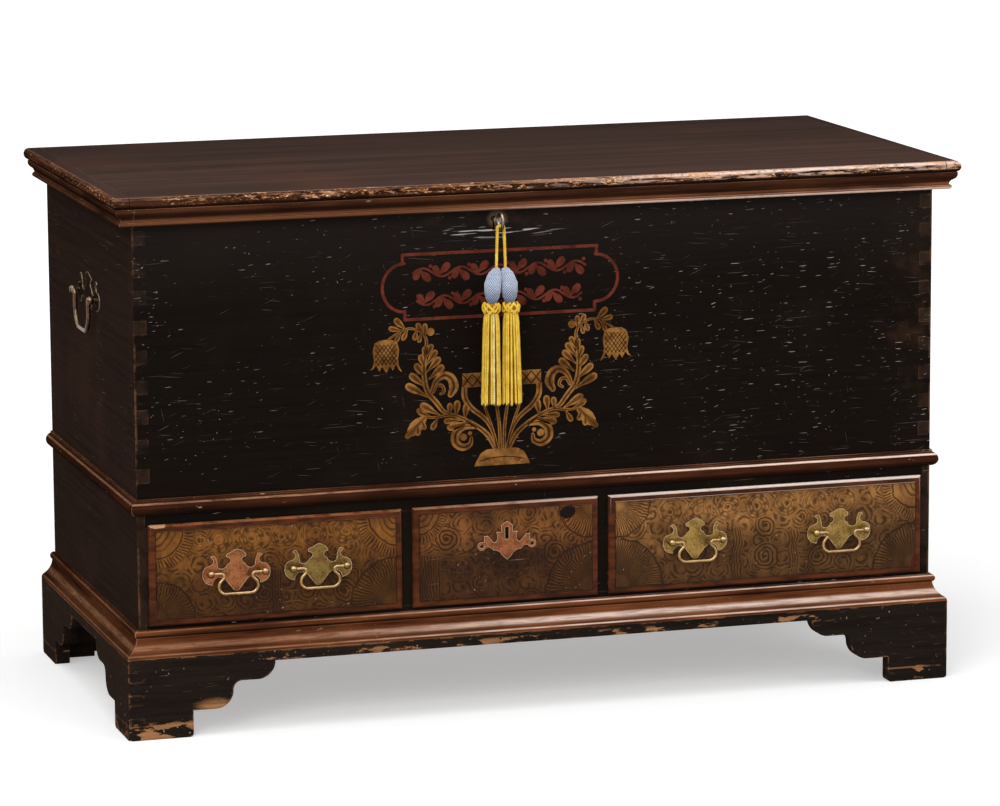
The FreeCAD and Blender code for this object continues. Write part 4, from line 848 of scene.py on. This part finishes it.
def skirt_paint():
    """Black bracket feet, scuffed to bare wood at their toes, along the arch and at their edges."""
    coat = Coat("skirt_paint")
    run = along_edge(coat)
    side = abs(coat.face_x).ease(0.4, 0.6)
    grain = coat.streaks(run, 160, 6, 5, 0.62)
    flake = coat.streaks(run, 34, 13, 4, 0.6)
    colour = coat.mix(grain.ease(0.25, 0.75), (28, 22, 19), (38, 31, 26))
    colour.cover(coat.noise(90, 4).ease(0.5, 0.75) * 0.5, (52, 38, 29))
    colour.cover(side * 0.5, (54, 42, 36))
    lines = coat.scratches(run, coat.z, *SKIRT_SCRATCHES)
    colour.cover(lines * 0.35, (134, 110, 90))
    nicks = coat.noise(4.6, 1, offset=6.0).ease(0.75, 0.77) * coat.noise(60, 2, offset=8.0).ease(0.42, 0.6)
    colour.cover(nicks * 0.7, (170, 156, 140))
    left = coat.x.ease(300, -300)
    toe = (flake + coat.z.ease(30, 0) * 0.06 + left * 0.10).ease(0.63, 0.67) * coat.z.ease(27, 21)
    toe = toe * coat.y.ease(-100, -200)
    seam = coat.z.band(*TOE_SEAM, 0.7) * flake.ease(0.4, 0.5)
    arch = coat.z.band(*ARCH_CROWN, 4) * (ARCH_HALF - abs(coat.x)).ease(0, 30) * flake.ease(0.56, 0.6)
    edge = coat.edges(5) * (flake + left * 0.06).ease(0.53, 0.58)
    joints = coat.larger(abs(coat.x).band(*SKIRT_JOINTS, 1), coat.y.band(FRONT - 17, FRONT + 2, 1) * side)
    edge = edge * (1 - joints * 0.8)
    lobe = coat.spot(*SKIRT_LOBE) * (flake + coat.z.ease(62, 44) * 0.2).ease(0.58, 0.62)
    bare = coat.larger(toe * 0.9, arch * 0.9, edge * 0.65, seam * 0.6, lobe * 0.9)
    tan = coat.mix(grain.ease(0.3, 0.7), (122, 82, 54), (178, 128, 86))
    colour.cover(bare * (1 - side * 0.6), tan)
    return coat.finish(colour, grain.ease(0.2, 0.8) * 0.15 + 0.5, grain * 0.3 - bare * 0.8 - lines * 0.3, 0.6)


PLATE_HEIGHT = 236.5
PLATE_SHADE_AND_GRIME = (72, 52)
LIP_WIDTH = 10


class Grained(Coat):
    """The combed and dabbed paint of one drawer front. low and high are the corners of its lip."""

    def __init__(self, name, low, high):
        super().__init__(name)
        self.low, self.high = low, high
        self.u = self.x + (self.noise(24, 4) - 0.5) * 14
        self.w = self.z + (self.noise(24, 4, offset=9.0) - 0.5) * 14
        self.dark = self.curls()

    def curls(self):
        """Spirals about scattered middles, all over."""
        flat = self.vector(self.u / 33, self.w / 31)
        distance, chance, centre = self.cells(flat, 0.5)
        out, up, _ = self.parts(self.field("VectorMath", flat, centre, operation="SUBTRACT"))
        curl = self.calc("SINE", distance * 38 + self.calc("ARCTAN2", up, out) + chance * 6)
        broken = self.noise(13, 3, offset=3.0).ease(0.36, 0.56)
        return self.larger(curl.ease(-0.1, 0.6) * broken * 0.9, distance.ease(0.10, 0.06))

    def lay(self, mask, figure):
        """Puts a figure over what is there."""
        self.dark = mask.between(self.dark, figure)

    def polar(self, centre):
        out, up = self.u - centre[0], self.w - centre[1]
        return self.reach(out, up), self.calc("ARCTAN2", up, out)

    def fan(self, centre, radius, rays, ladder):
        """A quarter fan about a corner: with hoops and an arc of ticks, or combed all the way."""
        reach, turn = self.polar(centre)
        ray = self.calc("SINE", turn * rays).ease(0.0, 0.7)
        rim = reach.band(radius - 3.2, radius - 1.4, 0.9)
        if ladder:
            ticks = ray * reach.band(radius * 0.72, radius - 4, 1.2)
            hoops = self.calc("SINE", reach * 0.75).ease(0.2, 0.8) * reach.ease(radius * 0.5, radius * 0.42)
            figure = self.larger(ticks, hoops * 0.8, reach.band(radius * 0.64, radius * 0.67, 0.8), rim * 0.5)
        else:
            figure = self.larger(ray * reach.ease(radius * 0.2, radius * 0.34), rim)
        self.lay(reach.ease(radius, radius - 1.5), figure)

    def rosettes(self, first, last, height, pitch):
        """A level row of dabbed flowers."""
        along = self.calc("WRAP", self.u - first, pitch / 2, -pitch / 2)
        up = self.w - height
        reach, turn = self.reach(along, up), self.calc("ARCTAN2", up, along)
        petals = self.calc("SINE", turn * 7).ease(-0.2, 0.5) * reach.band(pitch * 0.2, pitch * 0.36, 1.4)
        rings = self.calc("SINE", reach * 1.2 + turn).ease(0.1, 0.8)
        broken = self.noise(15, 3, offset=14.0).ease(0.3, 0.56)
        figure = self.larger(rings * 0.75, petals * 0.85, reach.ease(3.4, 2.4)) * broken
        inside = reach.ease(pitch * 0.48, pitch * 0.44) * self.u.band(first - pitch / 2, last + pitch / 2, 1)
        self.lay(inside, figure)

    def column(self, place, width, low, high):
        """Upright comb lines."""
        lines = self.calc("SINE", (self.u - place) * 1.5).ease(-0.1, 0.7)
        inside = self.u.band(place - width / 2, place + width / 2, 1.5) * self.w.band(low, high, 3)
        self.lay(inside, lines * 0.9)

    def eye(self, centre, radius):
        """One large spiral."""
        reach, turn = self.polar(centre)
        rings = self.calc("SINE", reach * 1.05 + turn).ease(0.1, 0.8)
        self.lay(reach.ease(radius, radius - 1.5), self.larger(rings, reach.ease(3.2, 2.4)))

    def paint(self, deep, ochre, glow, plates, knot=None, chip=None, stain=None):
        """Colours the figures, adds wear and the lip, and returns the material.

        plates are the places along X of the brasses; painted shade, with some grime, darkens the front about
        them.
        """
        low, high = self.low, self.high
        smear = self.noise((17, 17, 40), 5, 0.65, offset=5.0)
        ground = self.mix(smear.ease(0.3, 0.7), ochre, glow)
        # The lower part is thinner and browner
        drift = (self.noise(60, 3, offset=12.0) - 0.5) * 80
        level = low[1] + (high[1] - low[1]) * 0.58
        ground.cover((self.w + drift).ease(level + 20, level - 30) * 0.7, deep)
        colour = self.mix(self.dark * 0.8, ground, deep)
        colour.cover(self.noise(85, 4, offset=2.0).ease(0.46, 0.72) * 0.55, (40, 23, 15))
        in_u = (high[0] - low[0]) / 2 - abs(self.x - (low[0] + high[0]) / 2)
        in_w = (high[1] - low[1]) / 2 - abs(self.z - (low[1] + high[1]) / 2)
        inward = self.calc("MINIMUM", in_u, in_w)
        colour.cover(inward.ease(26, 9) * 0.3, (40, 22, 14))
        # Painted shade, with some grime, about the brasses
        for place in plates:
            grime = self.spot((place, PLATE_HEIGHT), PLATE_SHADE_AND_GRIME)
            colour.cover(grime * 0.6, (28, 16, 10))
        patchy = self.noise(70, 2, offset=7.0).ease(0.5, 0.66)
        lines = self.scratches(self.x, self.z, *DRAWER_SCRATCHES) * patchy
        colour.cover(lines * 0.4, (190, 150, 108))
        nicks = self.noise(4.2, 1, offset=6.0).ease(0.745, 0.77) * self.noise(60, 2).ease(0.5, 0.6)
        colour.cover(nicks * 0.6, (205, 180, 150))
        if knot:
            colour.cover(self.polar(knot)[0].ease(11.5, 9.5), (22, 13, 10))
        # The thumb moulding round the field
        rub = self.noise((30, 30, 14), 5, 0.7)
        lip = self.mix(self.noise((44, 9, 9), 4).ease(0.35, 0.65), (56, 28, 14), (92, 47, 23))
        right = self.x.ease(-300, 300)
        # Painted highlight along the lip where it faces up, growing to the right
        lip_highlight = self.face_z.ease(0.25, 0.6) * (rub + right * 0.2).ease(0.3, 0.6) * (right * 0.4 + 0.55)
        lip.cover(lip_highlight, self.mix(right, (190, 120, 76), (252, 234, 222)))
        # Painted shade under the lip
        lip.cover(self.face_z.ease(-0.3, -0.7) * 0.7, INK)
        edge = self.edges(2.2)
        lip.cover(edge * rub.ease(0.46, 0.6) * 0.4, (178, 112, 70))
        rim = inward.ease(LIP_WIDTH + 0.2, LIP_WIDTH - 0.4)
        groove = inward.band(LIP_WIDTH - 0.8, LIP_WIDTH + 0.6, 0.5)
        colour.cover(rim, lip)
        colour.cover(groove * 0.45, INK)
        for patch, tint in ((chip, (206, 156, 116)), (stain, (72, 26, 18))):
            if patch:
                ragged = self.spot(*patch) * 0.5 + rub
                colour.cover(ragged.ease(0.84, 0.9) * 0.8, tint)
        # Behind the lip the front is bare
        wood, _ = pine(self, self.x, (150, 114, 80), (112, 80, 54))
        colour.cover(self.y.ease(FRONT + 0.3, FRONT + 1.2), wood)
        height = self.dark * -0.6 * (1 - rim) + smear * 0.4 - lines * 0.3
        return self.finish(colour, smear.ease(0.2, 0.8) * 0.2 + 0.36, height, 1.0, specular=0.06)


def drawer_paint():
    """Each drawer's own figures."""
    left = Grained("grained_left", (-595, 162), (-217, 311))
    left.rosettes(-490, -300, 284, 47)
    left.eye((-425, 200), 19)
    left.eye((-305, 197), 20)
    left.column(-405, 15, 172, 232)
    left.fan((-585, 301), 60, 68, True)
    left.fan((-227, 301), 62, 68, True)
    left.fan((-585, 172), 58, 72, False)
    left.fan((-227, 172), 72, 80, False)
    paint = left.paint((34, 19, 11), (105, 64, 28), (146, 94, 41), (-467, -345), chip=((-580, 310), (24, 7)))
    dress(paint, "left_drawer_front")
    middle = Grained("grained_middle", (-201, 162), (83.5, 311))
    middle.rosettes(-130, -20, 214, 44)
    middle.eye((-150, 262), 20)
    middle.eye((15, 232), 19)
    middle.column(-176, 34, 176, 236)
    middle.fan((73, 172), 74, 84, False)
    middle.fan((73, 301), 52, 60, False)
    middle.fan((-191, 301), 44, 52, True)
    paint = middle.paint((30, 17, 11), (100, 61, 31), (136, 86, 43), (-58.75,), knot=(35, 291))
    dress(paint, "middle_drawer_front")
    right = Grained("grained_right", (99.5, 162), (595, 311))
    right.rosettes(195, 470, 282, 45.8)
    right.column(300, 16, 176, 250)
    right.column(390, 16, 176, 240)
    right.eye((345, 205), 22)
    right.eye((430, 200), 20)
    right.eye((345, 250), 18)
    right.fan((109.5, 172), 76, 112, False)
    right.fan((109.5, 301), 56, 72, False)
    right.fan((585, 301), 58, 68, True)
    right.fan((585, 172), 70, 80, False)
    paint = right.paint((34, 20, 12), (124, 82, 43), (172, 120, 68), (233, 461), stain=((586, 178), (16, 22)))
    dress(paint, "right_drawer_front")


def metal(name, tint, patina, rough=0.3, second=None, rim=0.7, metallic=1.0):
    """Cast and rubbed metal with patina, a painted highlight on top and along its rims, and painted shade
    below.

    second is a place along X and the tint beyond it.
    """
    coat = Coat(name)
    cloud = coat.noise(16, 4)
    fine = coat.noise(2.4, 3, 0.6)
    base = tint if second is None else coat.mix(coat.x.ease(second[0] - 10, second[0] + 10), tint, second[1])
    colour = coat.mix((cloud * 0.55 + fine * 0.45).ease(0.4, 0.62) * 0.85, base, patina)
    # Painted shade on faces that look down
    colour.cover(coat.face_z.ease(-0.05, -0.85) * 0.72, (30, 20, 13))
    # Painted highlight on faces that look up, as strong as rim
    colour.cover(coat.face_z.band(0.4, 0.8, 0.22) * rim * 0.7, (244, 214, 172))
    # Painted highlight along the rims
    bright = coat.edges(1.6, 0.008, 0.1) * cloud.ease(0.25, 0.5)
    colour.cover(bright * rim, (240, 210, 174))
    roughness = fine.ease(0.3, 0.7) * 0.2 + rough
    return coat.finish(colour, roughness, fine + cloud * 0.5, 0.25, metallic=metallic)


def dress_metal():
    patina = (86, 54, 34)
    left = metal("brass_left", (148, 92, 58), patina, second=(-406, (122, 100, 52)))
    dress(left, "left_drawer_plates", "left_drawer_posts")
    right = metal("brass_right", (146, 118, 62), (92, 68, 34))
    dress(right, "right_drawer_plates", "right_drawer_posts")
    bail = metal("brass_bail", (170, 134, 86), (106, 74, 42), 0.24, rim=0.6)
    dress(bail, *[f"{side}_drawer_bail_{number}" for side in ("left", "right") for number in (1, 2)])
    dress(metal("brass_escutcheon", (144, 88, 56), patina), "drawer_escutcheon")
    dress(metal("bronze_plate", (44, 31, 26), (30, 22, 19), 0.5, rim=0.45, metallic=0.0), "handle_plates")
    bronze = metal("bronze_bail", (96, 68, 52), (44, 32, 25), 0.26, rim=0.3, metallic=0.85)
    dress(bronze, "handle_posts", "handle_bail_left", "handle_bail_right")
    iron = metal("iron", (66, 52, 45), (74, 44, 30), 0.5, rim=0.2, metallic=0.8)
    dress(iron, "hinge_straps", "hinge_pads", "lid_staple")
    dress(iron, "chest_lock", "lock_bolt", "drawer_lock", "drawer_bolt")
    dress(metal("steel", (136, 130, 124), (62, 52, 45), 0.26, rim=0.4), "key")


def dress_wood():
    boards = ("front_board", "back_board", "bottom_board", "drawer_rail", "left_divider", "right_divider")
    dress(case_paint("case_paint", 0.0), *boards)
    dress(case_paint("side_paint", 0.45), "left_side", "right_side")
    waist = stained("waist_stain", (34, 18, 11), (64, 34, 21), (98, 54, 32), 1.25, 0.9, (-150, 300), 0.13)
    dress(waist, "waist_moulding")
    base = stained("base_stain", (44, 22, 12), (110, 60, 33), (158, 93, 54), 0.8, 0.4, (-430, 60), 0.17, 0.35)
    dress(base, "base_moulding")
    lid = stained("lid_stain", (42, 23, 15), (78, 44, 28), (112, 66, 42), 0.4, 0.4, (-250, 200), 0.14,
                  highlit_member=(745, 755))
    dress(lid, "lid_moulding")
    dress(lid_wood("lid_wood", "x"), "lid_board")
    dress(lid_wood("cleat_wood", "y"), "lid_cleats")
    dress(skirt_paint(), "skirt_front", "skirt_left", "skirt_right")
    dress(bare_wood("aged_pine", "x", (128, 96, 68), (88, 62, 42)), "chest_floor")
    dress(bare_wood("grimy_pine", "x", (58, 44, 34), (36, 27, 21)), "foot_blocks", "rear_brackets")
    dress(bare_wood("till_pine", "y", (140, 104, 74), (98, 70, 48)), "till_wall", "till_bottom")
    drawer_pine = bare_wood("drawer_pine", "y", (168, 132, 94), (126, 92, 62))
    for drawer in ("left_drawer", "middle_drawer", "right_drawer"):
        dress(drawer_pine, f"{drawer}_sides", f"{drawer}_back", f"{drawer}_bottom")


dress_wood()
drawer_paint()
dress_metal()


# Painted ornament on the front: thin raised shapes. The numbers are millimetres.

AXIS = -62.5
PAINT_BACK = FRONT + 0.3
GILT, VEIN, RED, SHADE = 0, 1, 2, 3
# Thickness of the paint, what each of some strokes adds to it, and what veins and shades add
PAINT_THICK, STROKE_STEP, STROKE_STEPS = 0.30, 0.02, 12
RAISED = {VEIN: 0.5, SHADE: 0.25}
VINE_WAVE = 6.5


class Ornament(Shape):
    """Strokes, leaves and dots of paint; each lies a hair above the last few."""

    def __init__(self):
        super().__init__()
        self.count = 0

    def lift(self, tint):
        self.count += 1
        return PAINT_THICK + STROKE_STEP * (self.count % STROKE_STEPS) + RAISED.get(tint, 0.0)

    def stroke(self, points, widths, tint=GILT):
        """A round-ended brush stroke through points, with a width at each."""
        knots = [Vector(point) for point in points]
        knots = [2 * knots[0] - knots[1], *knots, 2 * knots[-1] - knots[-2]]
        line = []
        for number in range(len(points) - 1):
            before, start, end, after = knots[number:number + 4]
            for step in range(6):
                share = step / 6
                spot = 0.5 * (
                    2 * start + (end - before) * share
                    + (2 * before - 5 * start + 4 * end - after) * share * share
                    + (3 * start - before - 3 * end + after) * share * share * share
                )
                line.append((spot, widths[number] + (widths[number + 1] - widths[number]) * share))
        line.append((knots[-2], widths[-1]))
        first = (line[0][0] - line[1][0]).normalized()
        last = (line[-1][0] - line[-2][0]).normalized()
        head, tail = line[0], line[-1]
        for turn in (35, 65, 84):
            angle = math.radians(turn)
            line.insert(0, (head[0] + first * head[1] / 2 * math.sin(angle), head[1] * math.cos(angle)))
            line.append((tail[0] + last * tail[1] / 2 * math.sin(angle), tail[1] * math.cos(angle)))
        lift = self.lift(tint)
        rings = []
        for number, (spot, width) in enumerate(line):
            ahead = line[min(number + 1, len(line) - 1)][0] - line[max(number - 1, 0)][0]
            side = Vector((-ahead.y, ahead.x)).normalized() * width / 2
            corners = [(spot + side, depth) for depth in (PAINT_BACK, FRONT - lift)]
            corners += [(spot - side, depth) for depth in (FRONT - lift, PAINT_BACK)]
            rings.append([(at.x * MM, depth * MM, at.y * MM) for at, depth in corners])
        self.rings(rings, tint)

    def patch(self, outline, tint=GILT):
        """A flat shape inside an outline."""
        lift = self.lift(tint)
        self.rings([[(x * MM, y * MM, z * MM) for x, z in outline] for y in (PAINT_BACK, FRONT - lift)], tint)

    def dot(self, x, z, radius, tint=GILT):
        self.patch([(x + radius * math.cos(TURN * at / 20), z + radius * math.sin(TURN * at / 20))
                    for at in range(20)], tint)

    def leaf(self, base, tip, width, shares=(0.24, 0.34, 0.55, 0.86, 1.0, 0.96), tint=GILT):
        """A club-shaped leaf from its base to its tip, shaded and veined."""
        base, tip = Vector(base), Vector(tip)
        points = [base.lerp(tip, at / (len(shares) - 1) * 0.9) for at in range(len(shares))]
        self.stroke(points, [max(width * share, 0.6) for share in shares], tint)
        if tint == GILT:
            shaded = [base.lerp(tip, at) for at in (0.1, 0.45, 0.75, 0.9)]
            self.stroke(shaded, [width * share for share in (0.12, 0.28, 0.5, 0.42)], SHADE)
            self.stroke([base.lerp(tip, at) for at in (0.25, 0.55, 0.85)], (0.6, 0.9, 0.5), VEIN)


def cartouche(art):
    """A lobed panel with two rows of running vine."""
    top, bottom = 683.5, 588.5
    line = 4.6

    def polyline(points):
        for start, end in zip(points, points[1:]):
            art.stroke((start, end), (line, line), RED)

    polyline([(-211.5, 671), (-211.5, top), (84, top), (82.5, 671)])
    polyline([(-208.5, 601), (-208.5, bottom), (80, bottom), (80, 601)])
    for centre, radius, turn in (((-209, 635.5), (33, 35.5), 1), ((81, 636), (34.5, 35), -1)):
        arc = []
        for step in range(11):
            angle = math.pi / 2 + turn * math.pi * step / 10
            arc.append((centre[0] + radius[0] * math.cos(angle), centre[1] + radius[1] * math.sin(angle)))
        art.stroke(arc, [line] * len(arc), RED)
    for height, low, high, phase in ((656, -196, 66, 0.0), (615, -190, 60, math.pi)):
        count = 9
        step = (high - low) / count
        stem = []
        for at in range(3 * count + 1):
            stem.append((low + step * at / 3, height + VINE_WAVE * math.sin(phase + math.pi * at / 3)))
        art.stroke(stem, [3.2] * len(stem), RED)
        for at in range(count):
            middle = low + step * (at + 0.5)
            up = 1 if (at % 2 == 0) == (phase == 0.0) else -1
            art.leaf((middle - 4, height + up * 4), (middle + 9, height - up * 10), 11.5, tint=RED)
            art.leaf((middle - 2, height + up * 6), (middle - 11, height - up * 7), 10, tint=RED)
            art.dot(middle + 12, height + up * 9, 2.8, RED)


def urn(art):
    """A footed bowl."""
    art.patch([(AXIS - 60, 484), (AXIS + 60, 484), (AXIS + 60, 505), (AXIS - 60, 505)])
    for at in range(8):
        middle = AXIS - 52.5 + 15 * at
        art.stroke(((middle - 7, 486), (middle + 7, 503)), (1.5, 1.5), VEIN)
        art.stroke(((middle + 7, 486), (middle - 7, 503)), (1.5, 1.5), VEIN)
    foot = ((42.5, 366.5), (40, 373), (33, 385), (25, 390), (20, 391))
    dome = [(AXIS + dx, z) for dx, z in foot] + [(AXIS - dx, z) for dx, z in reversed(foot)]
    art.patch(dome)
    art.stroke([(AXIS + dx, z) for dx, z in ((-34, 374), (-14, 378), (14, 378), (34, 374))], [1.3] * 4, VEIN)


BRANCHES = (
    (((57, 484), (56, 468), (46, 453), (30, 440), (20, 428), (12, 410), (9, 392)), (9, 9, 8, 7, 6, 5, 4)),
    (((31, 470), (25, 450), (19, 434), (13, 415), (7, 392)), (4, 4, 4, 4, 4)),
    (((8, 455), (4, 425), (3, 392)), (5, 5, 5)),
    (((11, 392), (22, 412), (37, 425), (57, 437), (77, 445), (97, 443), (115, 443)), (6, 8, 7, 6, 5, 4, 3)),
    (((80, 446), (90, 452), (100, 465), (112, 480), (117, 497), (118, 520), (116, 535), (114, 550),
      (115, 560), (122, 570), (135, 575), (147, 574), (165, 565), (172, 560)),
     (6, 7, 8, 8, 8, 7, 6, 5, 4.5, 4, 3.5, 3.5, 3, 3)),
    (((108, 478), (100, 496), (88, 504), (77, 499), (73, 486), (78, 475)), (5, 8, 11, 13, 15, 9)),
    (((104, 480), (99, 489), (91, 489), (88, 481), (93, 477)), (4, 5, 5, 5, 4)),
    (((42, 426), (58, 427), (70, 418), (71, 404), (60, 396), (49, 400), (47, 409)),
     (8, 11, 13, 13, 11, 8, 5)),
)
# Base, tip and width
LEAVES = (
    ((113, 474), (144, 492), 12), ((115, 488), (138, 507), 11), ((116, 502), (130, 521), 10.5),
    ((117, 516), (123, 534), 9.5), ((117, 528), (117, 546), 8), ((110, 500), (90, 517), 11),
    ((113, 511), (95, 529), 10.5), ((115, 520), (100, 540), 10), ((116, 530), (106, 549), 9),
    ((116, 560), (116, 580), 8), ((120, 566), (127, 581), 8), ((145, 574), (160, 589), 10),
    ((150, 573), (169, 577), 8), ((142, 574), (149, 561), 8), ((152, 570), (160, 558), 7),
    ((128, 573), (132, 560), 8), ((122, 568), (125, 556), 7), ((95, 446), (122, 462), 12),
    ((108, 444), (126, 452), 8), ((98, 441), (106, 427), 9), ((80, 446), (79, 460), 9),
    ((70, 442), (68, 463), 10.5), ((57, 437), (54, 458), 10.5), ((50, 433), (82, 426), 11),
    ((62, 437), (87, 436), 9), ((128, 436), (128, 420), 9), ((122, 440), (118, 428), 8),
)
DOTS = ((107.5, 569, 5.8), (59, 411, 5.5), (49, 416, 3.2), (126, 454, 4))
# About the middle of a tulip
TULIP = (
    (-17, 556), (-10, 560), (0, 561), (10, 560), (17, 556), (20, 545), (18, 530), (20, 522), (24, 517),
    (19, 519), (15, 524), (10, 515), (6, 522), (0, 512), (-6, 522), (-10, 515), (-15, 524), (-19, 516),
    (-24, 512), (-19, 523), (-18, 532), (-20, 545),
)
TULIP_OUT = 175


def flowers(art, sign):
    """Branches, leaves and a hanging tulip on one side of the urn."""
    def at(dx, z):
        return (AXIS + sign * dx, z)

    for points, widths in BRANCHES:
        line = [at(*point) for point in points]
        art.stroke(line, widths)
        art.stroke(line[1:], [width * 0.34 for width in widths[1:]], SHADE)
        art.stroke(line, [max(width * 0.12, 0.5) for width in widths], VEIN)
    for base, tip, width in LEAVES:
        art.leaf(at(*base), at(*tip), width)
    for dx, z, radius in DOTS:
        art.dot(*at(dx, z), radius)
    art.leaf(at(115, 446), at(147, 414), 20, (0.3, 0.6, 0.95, 1.0, 0.75, 0.2))
    art.patch([at(TULIP_OUT + dx, z) for dx, z in TULIP])
    for step in range(9):
        lean = TULIP_OUT - 25 + 6 * step
        low, high = max(lean, TULIP_OUT - 16), min(lean + 22, TULIP_OUT + 16)
        if high - low < 4:
            continue
        for flip in (-1, 1):
            ends = [(spot, 524 + (spot - lean) * 1.35) for spot in (low, high)]
            art.stroke([at(TULIP_OUT + flip * (dx - TULIP_OUT), z) for dx, z in ends], (0.9, 0.9), VEIN)


def old_paint(name, low, high, faded):
    """Old ornament paint, rubbed through to the black in places."""
    coat = Coat(name)
    cloud = coat.noise(22, 4)
    rub = coat.noise(8, 5, 0.7, offset=4.0)
    colour = coat.mix(cloud.ease(0.35, 0.65), low, high)
    colour.cover(rub.ease(0.53, 0.66) * faded, (34, 24, 17))
    return coat.finish(colour, rub.ease(0.2, 0.8) * 0.2 + 0.45, rub, 0.2)


def paint_front():
    art = Ornament()
    cartouche(art)
    urn(art)
    for sign in (-1, 1):
        flowers(art, sign)
    paints = [
        old_paint("gilt_paint", (106, 68, 32), (156, 108, 56), 0.5),
        old_paint("vein_paint", (30, 20, 13), (64, 41, 22), 0.3),
        old_paint("red_paint", (80, 37, 28), (106, 50, 38), 0.55),
        old_paint("shade_paint", (80, 50, 23), (110, 72, 34), 0.4),
    ]
    piece("painted_ornament", art, paints, "case")


paint_front()


def soften(names, width):
    """Eases the edges of solids so that they catch the light."""
    for name in names:
        weld = nodes[name].modifiers.new("weld", "WELD")
        weld.merge_threshold = 0.01 * MM
        ease = nodes[name].modifiers.new("ease", "BEVEL")
        ease.width = width * MM
        ease.segments = 2
        ease.limit_method = "ANGLE"
        ease.angle_limit = math.radians(40)
        ease.harden_normals = True


soften(("left_drawer_plates", "right_drawer_plates", "drawer_escutcheon", "handle_plates"), 0.45)
soften(("left_drawer_front", "middle_drawer_front", "right_drawer_front"), 1.2)
soften(("skirt_front", "skirt_left", "skirt_right"), 0.9)
